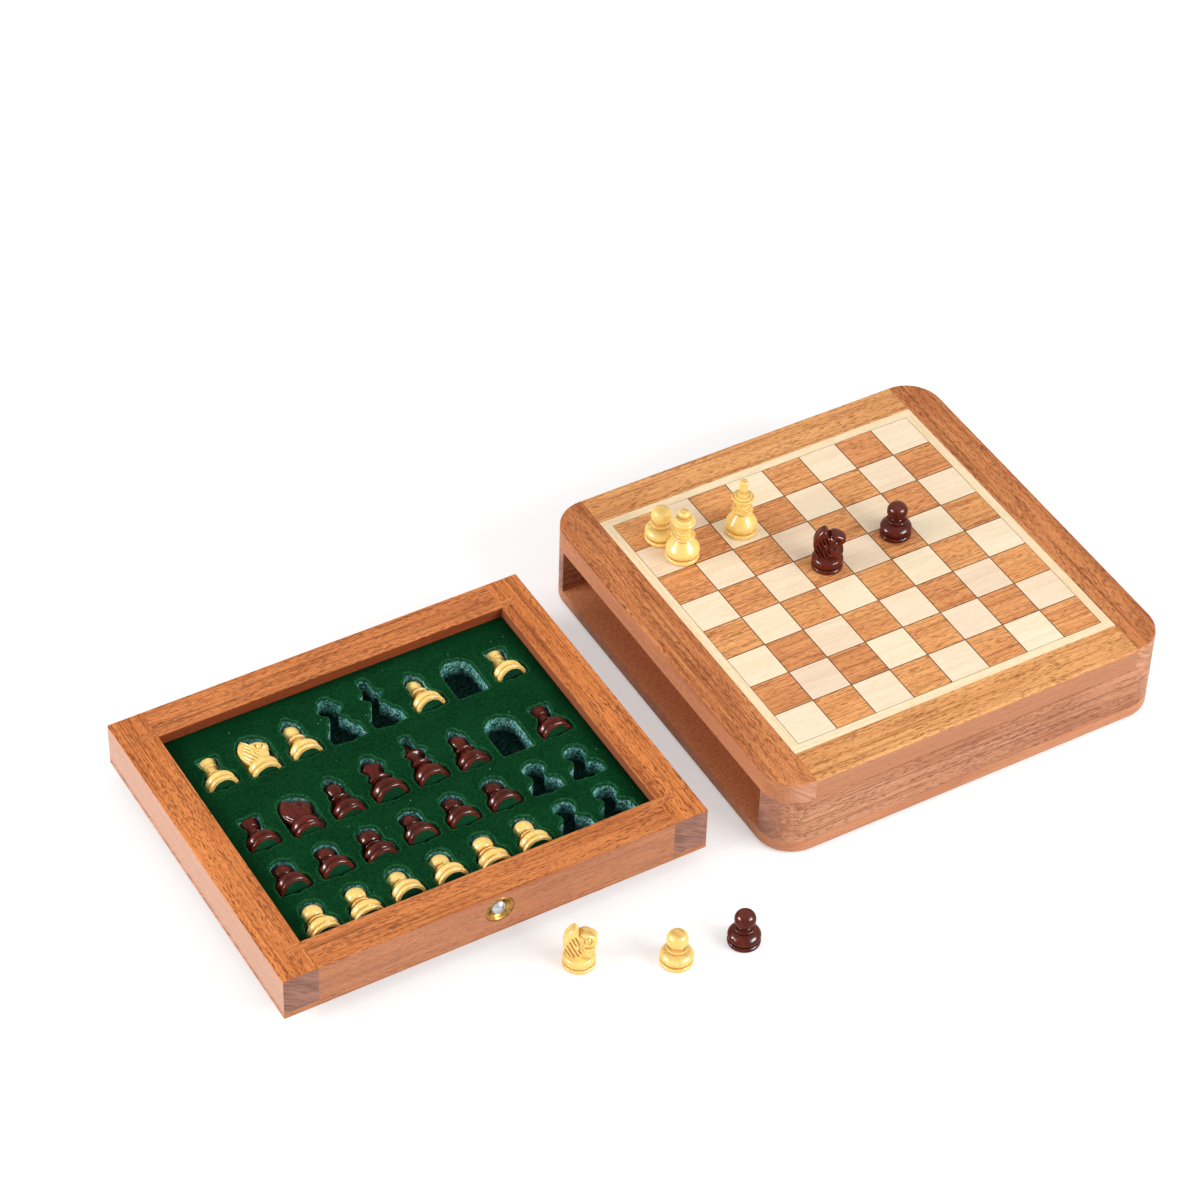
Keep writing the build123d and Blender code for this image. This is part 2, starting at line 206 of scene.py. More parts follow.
def vector_calc(tree, operation, inputs, output=0):
    """An output of one Vector Math node."""
    return add_node(tree, "ShaderNodeVectorMath", inputs, operation=operation).outputs[output]


def split(tree, place):
    """The X, Y and Z of a place, by name."""
    return add_node(tree, "ShaderNodeSeparateXYZ", {0: place}).outputs


def spread(tree, value, low, high, to_low=0.0, to_high=1.0):
    """A value carried from one range to another and held inside it, with smooth ends."""
    limits = {"Value": value, "From Min": low, "From Max": high, "To Min": to_low, "To Max": to_high}
    return add_node(tree, "ShaderNodeMapRange", limits, interpolation_type="SMOOTHSTEP").outputs["Result"]


def mixed(tree, share, first, second, blend="MIX"):
    """Two colours mixed by a share."""
    inputs = {0: share, 6: first, 7: second}
    return add_node(tree, "ShaderNodeMix", inputs, data_type="RGBA", blend_type=blend).outputs[2]


def scaled(tree, place, scale):
    """The place multiplied by a scale along each axis, in cycles a metre."""
    return vector_calc(tree, "MULTIPLY", {0: place, 1: scale})


def noise(tree, place, scale, detail=3.0, rough=0.55, distortion=0.0):
    """Noise from 0 to 1 on a place that is scaled along each axis."""
    inputs = {"Scale": 1.0, "Detail": detail, "Roughness": rough, "Distortion": distortion}
    inputs["Vector"] = scaled(tree, place, scale)
    return add_node(tree, "ShaderNodeTexNoise", inputs).outputs["Fac"]


def cell_distance(tree, place):
    """How far a place is from the middle of the nearest of many scattered cells."""
    return add_node(tree, "ShaderNodeTexVoronoi", {"Vector": place, "Scale": 1.0}).outputs["Distance"]


def bumped(tree, height, strength, relief):
    """The normal of a surface that is raised by a height, where relief is in millimetres."""
    inputs = {"Height": height, "Strength": strength, "Distance": relief * MM}
    return add_node(tree, "ShaderNodeBump", inputs).outputs["Normal"]


def new_group(name, inputs, outputs):
    """An empty shader group with named sockets: gives the tree, its inputs and its outputs."""
    tree = bpy.data.node_groups.new(name, "ShaderNodeTree")
    for label, kind, value in inputs:
        socket = tree.interface.new_socket(label, in_out="INPUT", socket_type=kind)
        if value is not None:
            socket.default_value = value
    for label, kind in outputs:
        tree.interface.new_socket(label, in_out="OUTPUT", socket_type=kind)
    entry = tree.nodes.new("NodeGroupInput")
    leave = tree.nodes.new("NodeGroupOutput")
    return tree, entry.outputs, leave.inputs


# %% [markdown]
# Nearly everything here is wood, so the timber is one node group. Real wood is a solid block of
# fibres, so the pattern is worked out in three dimensions from the place in the wood: noise that is
# stretched along the grain gives the bands and the fibres, and long thin cells give the pores.
# Where a face cuts across the grain, the same pattern shows as the dots of end grain by itself. A
# last output, Growth, holds the slanting year lines that a sawn end shows.

# %% The timber group
timber, given, gives = new_group(
    "Timber",
    [
        ("Place", VECTOR, None),
        ("Light", COLOUR, paint(214, 150, 96)),
        ("Dark", COLOUR, paint(176, 108, 62)),
        ("Pore", COLOUR, paint(98, 52, 30)),
        ("Pore amount", FLOAT, 0.8),
        ("Pore size", FLOAT, 1.0),
        ("Band size", FLOAT, 1.0),
    ],
    [("Color", COLOUR), ("Height", FLOAT), ("Growth", FLOAT)],
)
banded = vector_calc(timber, "SCALE", {0: given["Place"], "Scale": given["Band size"]})
bands = noise(timber, banded, (14, 190, 190), 4.0, 0.6, 0.7)
clouds = noise(timber, banded, (9, 38, 38), 2.0)
fibres = noise(timber, given["Place"], (90, 2100, 2100), 3.0, 0.7)
parts = split(timber, banded)
across_grain = add_node(timber, "ShaderNodeCombineXYZ", {1: parts["Y"], 2: parts["Z"]}).outputs[0]
from_heart = vector_calc(timber, "LENGTH", {0: across_grain}, "Value")
ringed = add_node(timber, "ShaderNodeCombineXYZ", {0: parts["X"], 1: from_heart}).outputs[0]
rings = noise(timber, ringed, (7, 560, 1), 3.0, 0.6, 0.3)
tone = weighed(timber, (bands, 0.35), (rings, 0.25), (clouds, 0.25), (fibres, 0.28))
tone = spread(timber, tone, 0.44, 0.72)
pored = scaled(timber, given["Place"], (220, 2600, 2600))
cells = cell_distance(timber, vector_calc(timber, "SCALE", {0: pored, "Scale": given["Pore size"]}))
crowd = noise(timber, given["Place"], (40, 420, 420), 3.0, 0.6)
reach = spread(timber, crowd, 0.34, 0.66, 0.18, 0.38)
pores = spread(timber, calc(timber, "SUBTRACT", cells, reach), -0.02, 0.10, 1.0, 0.0)
pores = calc(timber, "MULTIPLY", pores, given["Pore amount"], clamp=True)
streaks = noise(timber, given["Place"], (14, 900, 900), 4.0, 0.65, 0.3)
streaks = spread(timber, streaks, 0.48, 0.66, 0.0, 0.65)
streaks = calc(timber, "MULTIPLY", streaks, given["Pore amount"], clamp=True)
grown = mixed(timber, tone, given["Light"], given["Dark"])
grown = mixed(timber, streaks, grown, given["Pore"])
grown = mixed(timber, pores, grown, given["Pore"])
raised, sunken = calc(timber, "MULTIPLY", fibres, 0.35), calc(timber, "MULTIPLY", pores, 0.9)
height = calc(timber, "SUBTRACT", raised, sunken)
lean = {"Vector": given["Place"], "Rotation": (0.6, 0.0, 0.0)}
leaning = add_node(timber, "ShaderNodeMapping", lean).outputs[0]
lines = noise(timber, leaning, (60, 110, 1500), 4.0, 0.7, 0.2)
years = noise(timber, leaning, (60, 60, 330), 2.0)
growth = weighed(timber, (lines, 0.6), (years, 0.4))
timber.links.new(spread(timber, growth, 0.38, 0.62), gives["Growth"])
timber.links.new(grown, gives["Color"])
timber.links.new(height, gives["Height"])
print("timber group nodes:", len(timber.nodes))

# %% [markdown]
# A wooden finish is that group with colours of its own, then lacquer. The case is oiled and only
# slightly shiny, while the men and the board have a clear coat, which is the shader's coat layer.
# A new piece reads its place in the wood from the attribute, and a solid of the imported model reads
# its Object coordinates, with the grain turned to Y where the piece lies that way. In the photograph
# the rails' sides are more even in colour than their tops, so a finish can take another colour below
# a level. The rails' faces round the drawer's tray lie in its shade, and a finish can take that as
# painted shade inside the tray.

# %% Wooden materials
def new_material(name):
    """A material with its tree and its Principled shader."""
    material = bpy.data.materials.new(name)
    material.use_nodes = True
    return material, material.node_tree, material.node_tree.nodes["Principled BSDF"]


def wood_place(tree, grain):
    """Where a point is in the wood, with the grain along the first axis."""
    if grain == "timber":
        return attribute(tree, "timber", "Vector")
    place = object_place(tree)
    if grain == "y":
        turn = {"Vector": place, "Rotation": (0.0, 0.0, np.pi / 2)}
        place = add_node(tree, "ShaderNodeMapping", turn).outputs[0]
    return place


def finish(tree, shader, colour, height, rough, coat, coat_rough, bump, relief, gloss):
    """Colour, roughness and bump of a wooden surface, and its lacquer. Pores are rougher than the
    fibres round them."""
    feed(tree, shader, {
        "Base Color": colour,
        "Roughness": spread(tree, height, -0.6, 0.3, rough + 0.16, rough),
        "Normal": bumped(tree, height, bump, relief),
        "Coat Weight": coat,
        "Coat Roughness": coat_rough,
        "Specular IOR Level": gloss,
    })


def tray_shade_mask(tree):
    """Where the rails get painted shade: one on points inside the drawer's tray and on its walls, below
    the rails' tops: the distance from the tray's middle is less than half its size, along each axis."""
    from_middle = vector_calc(tree, "SUBTRACT", {0: object_place(tree), 1: TRAY_MIDDLE})
    axes = split(tree, vector_calc(tree, "ABSOLUTE", {0: from_middle}))
    mask = calc(tree, "LESS_THAN", axes["X"], TRAY_HALF[0])
    mask = calc(tree, "MULTIPLY", mask, calc(tree, "LESS_THAN", axes["Y"], TRAY_HALF[1]))
    return calc(tree, "MULTIPLY", mask, calc(tree, "LESS_THAN", axes["Z"], TRAY_HALF[2]))


def wood(name, light, dark, pore, pore_amount=0.8, pore_size=1.0, grain="timber", end=None,
         flank=None, groove=None, inside=None, rough=0.45, coat=0.0, coat_rough=0.1, bump=0.5,
         relief=0.12, gloss=0.15):
    """A wooden finish: the timber group, growth lines where a face cuts across the grain, then
    lacquer. A flank is a level in millimetres, a colour and a share: below that level the sanded
    sides of a rail are more even than its top. A groove's colour is the one the wood darkens to deep
    in a groove, and inside is the colour of the painted shade on a rail's faces towards the drawer's tray."""
    material, tree, shader = new_material(name)
    stuff = add_node(tree, "ShaderNodeGroup", node_tree=timber)
    feed(tree, stuff, {
        "Place": wood_place(tree, grain),
        "Light": paint(*light),
        "Dark": paint(*dark),
        "Pore": paint(*pore),
        "Pore amount": pore_amount,
        "Pore size": pore_size,
        "Band size": 1.0,
    })
    colour = stuff.outputs["Color"]
    if flank is not None:
        level, sanded, share = flank
        upward = split(tree, object_place(tree))["Z"]
        below = spread(tree, upward, (level - FLANK_BLEND) * MM, (level + FLANK_BLEND) * MM, share, 0.0)
        colour = mixed(tree, below, colour, paint(*sanded))
    if end is not None:
        pale = tuple(min(255, value + 26) for value in end)
        deep = tuple(value * 0.78 for value in end)
        sawn = mixed(tree, stuff.outputs["Growth"], paint(*deep), paint(*pale))
        squareness = spread(tree, attribute(tree, "cut"), 0.35, 0.95)
        colour = mixed(tree, squareness, colour, mixed(tree, 0.85, colour, sawn))
    # Painted shade: a rail's faces inside the drawer's tray are multiplied by a darker colour.
    if inside is not None:
        tray_shaded = mixed(tree, 1.0, colour, paint(*inside), "MULTIPLY")
        colour = mixed(tree, tray_shade_mask(tree), colour, tray_shaded)
    # The colour darkens towards the groove colour deep in a groove, as far as the hollow attribute says.
    if groove is not None:
        groove_darkening = calc(tree, "MULTIPLY", attribute(tree, "hollow"), 0.75, clamp=True)
        colour = mixed(tree, groove_darkening, colour, paint(*groove))
    finish(tree, shader, colour, stuff.outputs["Height"], rough, coat, coat_rough, bump, relief, gloss)
    return material


FLANK_BLEND = 0.3
BOARD_LEVEL = spot("light_squares")[1][2]
RAIL_TOP = spot("drawer_front_rail")[1][2]
case_flank, drawer_flank = BOARD_LEVEL - 1.1, RAIL_TOP - 0.5
# The box of the drawer's tray, inside which the rails' faces get painted shade.
tray_low = np.array([spot("drawer_left_rail")[1][0], spot("drawer_front_rail")[1][1], 0])
tray_high = np.array([spot("drawer_right_rail")[0][0], spot("drawer_rear_rail")[0][1], RAIL_TOP - 0.35])
tray_margin = np.array([0.3, 0.3, 0])
TRAY_MIDDLE = tuple((tray_low + tray_high) / 2 * MM)
TRAY_HALF = tuple(((tray_high - tray_low) / 2 + tray_margin) * MM)
wall_wood = wood(
    "wall_wood", (214, 154, 118), (170, 106, 72), (104, 56, 38), pore_amount=0.75, pore_size=1.2,
    end=(160, 106, 86),
)
panel_wood = wood(
    "panel_wood", (212, 148, 110), (188, 122, 86), (150, 92, 62), pore_amount=0.3, pore_size=1.2,
)
cross_wood = wood(
    "cross_rail_wood", (242, 176, 112), (208, 136, 78), (132, 72, 38), pore_amount=0.8,
    pore_size=1.25, end=(180, 112, 70), flank=(case_flank, (184, 124, 94), 0.85),
)
side_wood = wood(
    "side_rail_wood", (222, 144, 88), (168, 92, 48), (104, 50, 26), pore_amount=0.85,
    pore_size=1.25, end=(200, 138, 104), flank=(case_flank, (194, 130, 96), 0.6),
)
# Both drawer finishes take painted shade on the rails' faces inside the tray.
drawer_wood = wood(
    "drawer_wood", (228, 142, 82), (180, 100, 52), (104, 52, 28), pore_amount=0.85, pore_size=1.3,
    end=(152, 100, 80), flank=(drawer_flank, (182, 128, 102), 0.6), inside=(196, 150, 122),
)
end_rail_wood = wood(
    "end_rail_wood", (236, 146, 80), (186, 102, 50), (108, 52, 26), pore_amount=0.9, pore_size=1.3,
    end=(140, 90, 74), flank=(drawer_flank, (204, 164, 144), 0.8), inside=(196, 150, 122),
)
sheet_wood = wood(
    "drawer_sheet_wood", (204, 138, 98), (172, 108, 70), (124, 72, 46), pore_amount=0.5,
    end=(190, 130, 96),
)
light_man_wood = wood(
    "boxwood", (254, 222, 138), (246, 202, 108), (206, 146, 68), pore_amount=0.12, rough=0.3,
    coat=0.12, coat_rough=0.1, bump=0.1, end=(236, 184, 96), gloss=0.15, groove=(204, 132, 48),
)
dark_man_wood = wood(
    "stained_boxwood", (106, 33, 14), (56, 14, 6), (24, 7, 4), pore_amount=0.45, rough=0.25,
    coat=0.14, coat_rough=0.05, bump=0.1, end=(84, 26, 13), gloss=0.08, groove=(34, 9, 5),
)

# %% [markdown]
# The playing field is veneer: 64 squares, each cut from another place of the leaf, so each has its
# own tone and its own figure. A group works out which square a point is in, gives that square a
# number from white noise, and moves the place in the wood by it. It also marks the last tenths of a
# millimetre at each square's edge, where the glue line shows dark.

# %% Veneer squares
SQUARE = 17.4
inlay, given, gives = new_group(
    "Inlay squares", [("Place", VECTOR, None)], [("Place", VECTOR), ("Tone", FLOAT), ("Edge", FLOAT)]
)
in_squares = scaled(inlay, given["Place"], (1 / (SQUARE * MM), 1 / (SQUARE * MM), 0.0))
cell = vector_calc(inlay, "FLOOR", {0: in_squares})
number = add_node(inlay, "ShaderNodeTexWhiteNoise", {"Vector": cell}, noise_dimensions="3D")
metres_apart = (3.0, 3.0, 3.0)
jump = {0: number.outputs["Color"], 1: metres_apart, 2: given["Place"]}
moved = vector_calc(inlay, "MULTIPLY_ADD", jump)
inside = vector_calc(inlay, "FRACTION", {0: in_squares})
from_middle = vector_calc(inlay, "SUBTRACT", {0: inside, 1: (0.5, 0.5, 0.0)})
axes = split(inlay, vector_calc(inlay, "ABSOLUTE", {0: from_middle}))
outmost = calc(inlay, "MAXIMUM", axes["X"], axes["Y"])
inlay.links.new(moved, gives["Place"])
inlay.links.new(number.outputs["Value"], gives["Tone"])
inlay.links.new(spread(inlay, outmost, 0.483, 0.492), gives["Edge"])


board_finish = {"rough": 0.4, "coat": 0.08, "coat_rough": 0.16, "bump": 0.2, "relief": 0.05}


def veneer(name, light, dark, streak, other_light, other_dark, streak_amount, edge):
    """A veneer finish: each square is mixed between two pairs of colours by its own number."""
    material, tree, shader = new_material(name)
    laid = add_node(tree, "ShaderNodeGroup", {"Place": object_place(tree)}, node_tree=inlay)
    figure = add_node(tree, "ShaderNodeGroup", node_tree=timber)
    feed(tree, figure, {
        "Place": laid.outputs["Place"],
        "Light": mixed(tree, laid.outputs["Tone"], paint(*light), paint(*other_light)),
        "Dark": mixed(tree, laid.outputs["Tone"], paint(*dark), paint(*other_dark)),
        "Pore": paint(*streak),
        "Pore amount": streak_amount,
        "Pore size": 1.1,
        "Band size": 1.6,
    })
    glue_line = calc(tree, "MULTIPLY", laid.outputs["Edge"], 0.95)
    colour = mixed(tree, glue_line, figure.outputs["Color"], paint(*edge))
    finish(tree, shader, colour, figure.outputs["Height"], gloss=0.15, **board_finish)
    return material


light_veneer = veneer(
    "light_veneer", light=(255, 238, 206), dark=(250, 226, 190), streak=(222, 184, 146),
    other_light=(246, 222, 196), other_dark=(236, 206, 176), streak_amount=0.25, edge=(118, 74, 46),
)
dark_veneer = veneer(
    "dark_veneer", light=(248, 182, 116), dark=(226, 150, 88), streak=(146, 82, 44),
    other_light=(238, 164, 104), other_dark=(204, 128, 76), streak_amount=0.85, edge=(72, 38, 20),
)
strip_x = wood(
    "maple_strip_x", (254, 234, 196), (246, 218, 174), (206, 164, 120), pore_amount=0.3, grain="x",
    **board_finish,
)
strip_y = wood(
    "maple_strip_y", (252, 230, 192), (242, 212, 168), (206, 164, 120), pore_amount=0.3, grain="y",
    **board_finish,
)


def recoat(material, *names):
    """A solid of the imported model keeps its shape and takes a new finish."""
    for name in names:
        for place in nodes[name].material_slots:
            place.material = material


recoat(light_veneer, "light_squares")
recoat(dark_veneer, "dark_squares")
recoat(strip_x, "border_front_strip", "border_rear_strip")
recoat(strip_y, "border_left_strip", "border_right_strip")

# %% [markdown]
# Under the veneer are a steel sheet, which holds the magnets in the men's feet, and a core of
# fibreboard. The bay's floor has the same finish. The board is pressed from short fibres, so it
# shows a fine even mottle with light specks, not grain. The steel keeps a dull rolled look, and
# only its edge could ever be seen.

# %% Fibreboard and steel
def speckled(name, ground, dark, speck, rough=0.75):
    """Pressed fibre: a fine noise makes the mottle, and small cells make the light specks."""
    material, tree, shader = new_material(name)
    place = object_place(tree)
    mottle = noise(tree, place, (900, 900, 900), 4.0, 0.7)
    colour = mixed(tree, spread(tree, mottle, 0.35, 0.7), paint(*ground), paint(*dark))
    flecks = spread(tree, cell_distance(tree, scaled(tree, place, (700, 420, 700))), 0.06, 0.2, 0.8, 0.0)
    feed(tree, shader, {
        "Base Color": mixed(tree, flecks, colour, paint(*speck)),
        "Roughness": spread(tree, mottle, 0.3, 0.7, rough, rough - 0.12),
        "Normal": bumped(tree, mottle, 0.3, 0.1),
    })
    return material


# The ground is the fibreboard's own light tone, raised further as painted light for the bay's floor, where
# the drawer keeps out the left lamp's light.
fibreboard = speckled("fibreboard", (250, 172, 118), (222, 136, 86), (255, 206, 160))
steel_face, tree, shader = new_material("rolled_steel")
rolled = noise(tree, object_place(tree), (60, 1600, 60), 3.0)
feed(tree, shader, {
    "Base Color": mixed(tree, rolled, paint(150, 152, 156), paint(190, 192, 196)),
    "Roughness": spread(tree, rolled, 0.2, 0.8, 0.3, 0.5),
    "Metallic": 1.0,
})
recoat(fibreboard, "board_core")
recoat(steel_face, "steel_sheet")

# %% [markdown]
# Rails, walls and panels are planks with softened edges. A bevel modifier on a box would round all
# edges alike, but here a rail's outer edge is rounded by about a millimetre, while the edge along
# a joint is only broken. So each plank is an outline carried upwards, and at every level the
# outline is drawn in by the amount that an arc of that edge's radius gives. An outline point holds
# its place, its direction out of its arc, the way the joint edge draws it in, the way the outer
# edge draws it in past the arc, and the arc's radius. A sharp corner has no arc.

# %% Planks
EVEN_RIM = 0.3
ARC_LEVELS = 6


def bend(x, y, radius, start, end, steps):
    """Outline points round an arc, drawn in towards its centre by the outer edge's rounding. Past
    the centre they go on along the corner's mitre."""
    angle = np.radians(np.linspace(start, end, steps))
    out = np.stack([np.cos(angle), np.sin(angle)], 1)
    place, no_joint = np.array([x, y]) + radius * out, np.zeros_like(out)
    mitre = np.sign(out[[0]] + out[[-1]]) + no_joint
    return np.hstack([place, out, no_joint, mitre, np.full((steps, 1), radius)])


def turn(x, y, outer=(0, 0), joint=(0, 0)):
    """One sharp outline corner, with its directions for the outer and the joint edge."""
    return np.array([[x, y, 0, 0, *joint, *outer, 0]], float)


def mirrored(outline, axis):
    """The outline on the other side of an axis, in the order that keeps its faces outwards."""
    turned_over = outline.copy()
    turned_over[:, [axis, axis + 2, axis + 4, axis + 6]] *= -1
    return turned_over[::-1]


def drawn_in(radius, depth):
    """How far an arc of this radius draws an edge in at a depth from the face."""
    left = np.clip(radius - depth, 0, None)
    return radius - np.sqrt(np.clip(radius**2 - left**2, 0, None))


def arc_depths(edges):
    """The depths at which a plank needs a ring: those of both edges' arcs, and one past them."""
    arc = 1 - np.sin(np.linspace(0, np.pi / 2, ARC_LEVELS))
    return np.unique(np.round(np.concatenate([edges[0] * arc, edges[1] * arc, [max(edges) + EVEN_RIM]]), 4))


def plank(name, outline, bottom, top, material, grain, low, high):
    """An outline carried from bottom to top. Low and high hold the outer and joint edge radii there,
    and each ring is the outline less the arc's inset. The caps get one more ring, close to their
    rim, so that the flat faces stay flat in the shading."""
    levels = [(bottom, low[0] + EVEN_RIM, low[1] + EVEN_RIM)]
    levels += [(bottom + depth, *(drawn_in(edge, depth) for edge in low)) for depth in arc_depths(low)]
    levels += [(top - depth, *(drawn_in(edge, depth) for edge in high)) for depth in arc_depths(high)[::-1]]
    levels.append((top, high[0] + EVEN_RIM, high[1] + EVEN_RIM))
    rings = []
    place, out, to_joint, mitre = (outline[:, first:first + 2] for first in (0, 2, 4, 6))
    radius = outline[:, [8]]
    for level, outer, joint in levels:
        along_arc, past_arc = np.minimum(outer, radius), np.clip(outer - radius, 0, None)
        flat = place - along_arc * out - joint * to_joint - past_arc * mitre
        rings.append(np.column_stack([flat, np.full(len(flat), level)]))
    points = np.vstack(rings)
    around = len(outline)
    faces = ring_faces(len(levels), around)
    faces.append(list(range(around))[::-1])
    faces.append(list(range(len(points) - around, len(points))))
    order = GRAIN_ORDER[grain]
    return make_piece(name, points, faces, material, 35, points[:, order], np.eye(3)[order[0]])


def box_outline(x0, x1, y0, y1, corner, steps):
    """A rectangle whose four upright edges are rounded."""
    return np.vstack([
        bend(x1 - corner, y0 + corner, corner, -90, 0, steps),
        bend(x1 - corner, y1 - corner, corner, 0, 90, steps),
        bend(x0 + corner, y1 - corner, corner, 90, 180, steps),
        bend(x0 + corner, y0 + corner, corner, 180, 270, steps),
    ])


# %% [markdown]
# The case first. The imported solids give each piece's box, and the round corner of the case has a
# radius of 15 mm. The walls are two planks along the bay, and the bay's ends are open. The four top
# rails lie flat round the board: the side rails run from front to rear and carry the round corners.

# %% The case
CORNER, CORNER_STEPS = 15.0, 13
EDGE, JOINT_EDGE, FOOT_EDGE, SAWN_EDGE = 1.1, 0.12, 1.2, 0.1
low, high = spot("bottom_panel")
HALF = high[0]
CENTRE = HALF - CORNER
bay_floor = high[2]
case_outline = box_outline(-HALF, HALF, -HALF, HALF, CORNER, CORNER_STEPS)
panel_edges = {"low": (FOOT_EDGE, 0), "high": (SAWN_EDGE, 0)}
panel = plank("case_bottom", case_outline, low[2], high[2], panel_wood, "x", **panel_edges)
panel.data.materials.append(fibreboard)
middles = np.zeros(len(panel.data.polygons) * 3, np.float32)
panel.data.polygons.foreach_get("center", middles)
on_top = middles.reshape(-1, 3)[:, 2] > (high[2] - 0.01) * MM
panel.data.polygons.foreach_set("material_index", on_top.astype(np.int32))
dress(panel, "case", "case_wood", "bottom_panel")

wall_edges = {"low": (SAWN_EDGE, 0), "high": (SAWN_EDGE, 0)}
for name, side in (("front_wall", -1), ("rear_wall", 1)):
    low, high = spot(name)
    inner = low[1] if side > 0 else high[1]
    lift = np.degrees(np.arcsin((abs(inner) - CENTRE) / CORNER))
    outline = np.vstack([
        bend(CENTRE, CENTRE, CORNER, lift, 90, CORNER_STEPS),
        bend(-CENTRE, CENTRE, CORNER, 90, 180 - lift, CORNER_STEPS),
    ])
    outline = mirrored(outline, 1) if side < 0 else outline
    wall = plank("case_" + name, outline, low[2], high[2], wall_wood, "x", **wall_edges)
    dress(wall, "case", "case_wood", name)

rail_edges = {"low": (SAWN_EDGE, SAWN_EDGE), "high": (EDGE, JOINT_EDGE)}
for name, side in (("top_left_rail", -1), ("top_right_rail", 1)):
    low, high = spot(name)
    inner = high[0] if side < 0 else low[0]
    outline = np.vstack([
        turn(abs(inner), -HALF, (0, -1), (-1, 0)),
        bend(CENTRE, -CENTRE, CORNER, -90, 0, CORNER_STEPS),
        bend(CENTRE, CENTRE, CORNER, 0, 90, CORNER_STEPS),
        turn(abs(inner), HALF, (0, 1), (-1, 0)),
    ])
    outline = mirrored(outline, 0) if side < 0 else outline
    rail = plank("case_" + name, outline, low[2], high[2], side_wood, "y", **rail_edges)
    dress(rail, "case", "side_rail_wood", name)

for name, side in (("top_front_rail", -1), ("top_rear_rail", 1)):
    low, high = spot(name)
    inner, outer = (high[1], low[1]) if side < 0 else (low[1], high[1])
    outline = np.vstack([
        turn(low[0], outer, (0, side), (-1, 0)),
        turn(high[0], outer, (0, side), (1, 0)),
        turn(high[0], inner, (0, 0), (1, -side)),
        turn(low[0], inner, (0, 0), (-1, -side)),
    ])
    outline = outline if side < 0 else outline[::-1]
    rail = plank("case_" + name, outline, low[2], high[2], cross_wood, "x", **rail_edges)
    dress(rail, "case", "cross_rail_wood", name)
print("case pieces made, bay floor at", round(bay_floor, 2), "mm")

# %% [markdown]
# The drawer is a frame of four rails on a sheet. The end rails run the full width, so their end
# grain shows at the front corners, and the long rails have a tongue in each of them, which shows as
# a thin line on top. Tongues and notches are corners of the outline, so a rail is still one plank.
# The catch sits in a bore: the flat front face is cut open round a circle by a tessellator, and a
# short tube with an end closes the hole.

# %% The drawer's rails
TONGUE_LENGTH, TONGUE_THICKNESS, LONG_RAIL_WIDTH = 6.4, 3.5, 14.6
END_CORNER, SHEET_CORNER, SMALL_STEPS = 0.3, 0.3, 4
CATCH_BORE_RADIUS, CATCH_BORE_DEPTH, BORE_STEPS = 5.95, 9.0, 48


def cap(points, loops, axes):
    """Triangles on a flat face, between an outer loop of points and the holes in it. The axes are the
    face's own two, and each triangle is turned from the first of them to the second."""
    outlines = [[Vector((*points[index, axes], 0.0)) for index in loop] for loop in loops]
    order = [index for loop in loops for index in loop]
    faces = []
    for triangle in tessellate_polygon(outlines):
        corners = [order[index] for index in triangle]
        a, b, c = points[corners][:, axes]
        ahead = (b[0] - a[0]) * (c[1] - a[1]) - (b[1] - a[1]) * (c[0] - a[0]) > 0
        faces.append(corners if ahead else corners[::-1])
    return faces


def bored(piece, middle, radius, depth, material):
    """A bore into the largest face that looks towards -Y: the face becomes triangles between its own
    corners and a circle, and the circle is carried inwards to an end."""
    mesh = piece.data
    corners = np.zeros(len(mesh.vertices) * 3, np.float32)
    mesh.vertices.foreach_get("co", corners)
    corners = corners.reshape(-1, 3) / MM
    faces = [list(face.vertices) for face in mesh.polygons]
    facing = [face.area if face.normal.y < -0.99 else 0.0 for face in mesh.polygons]
    front = faces.pop(int(np.argmax(facing)))
    angle = np.linspace(0, 2 * np.pi, BORE_STEPS, endpoint=False)
    circle = np.stack([
        middle[0] + radius * np.cos(angle),
        np.full(BORE_STEPS, corners[front[0], 1]),
        middle[2] + radius * np.sin(angle),
    ], 1)
    first = len(corners)
    points = np.vstack([corners, circle, circle + np.array([0, depth, 0])])
    faces += cap(points, [front, list(range(first, first + BORE_STEPS))], [0, 2])
    faces += ring_faces(2, BORE_STEPS, first)
    faces.append(list(range(first + BORE_STEPS, len(points))))
    name, timber_places = piece.name, points[:, GRAIN_ORDER["x"]]
    bpy.data.objects.remove(piece)
    return make_piece(name + "_bored", points, faces, material, 35, timber_places, (1, 0, 0))


def long_rail_outline(x0, x1, outer, inner, tongue):
    """The front rail from above: its outer edge, and a tongue between two levels at each end."""
    t0, t1 = tongue
    reach = TONGUE_LENGTH
    return np.vstack([
        turn(x0, outer, (0, -1), (-1, 0)),
        turn(x1, outer, (0, -1), (1, 0)),
        turn(x1, t0, joint=(1, -1)),
        turn(x1 + reach, t0, joint=(1, -1)),
        turn(x1 + reach, t1, joint=(1, 1)),
        turn(x1, t1, joint=(1, 1)),
        turn(x1, inner, (0, 1), (1, 0)),
        turn(x0, inner, (0, 1), (-1, 0)),
        turn(x0, t1, joint=(-1, 1)),
        turn(x0 - reach, t1, joint=(-1, 1)),
        turn(x0 - reach, t0, joint=(-1, -1)),
        turn(x0, t0, joint=(-1, -1)),
    ])


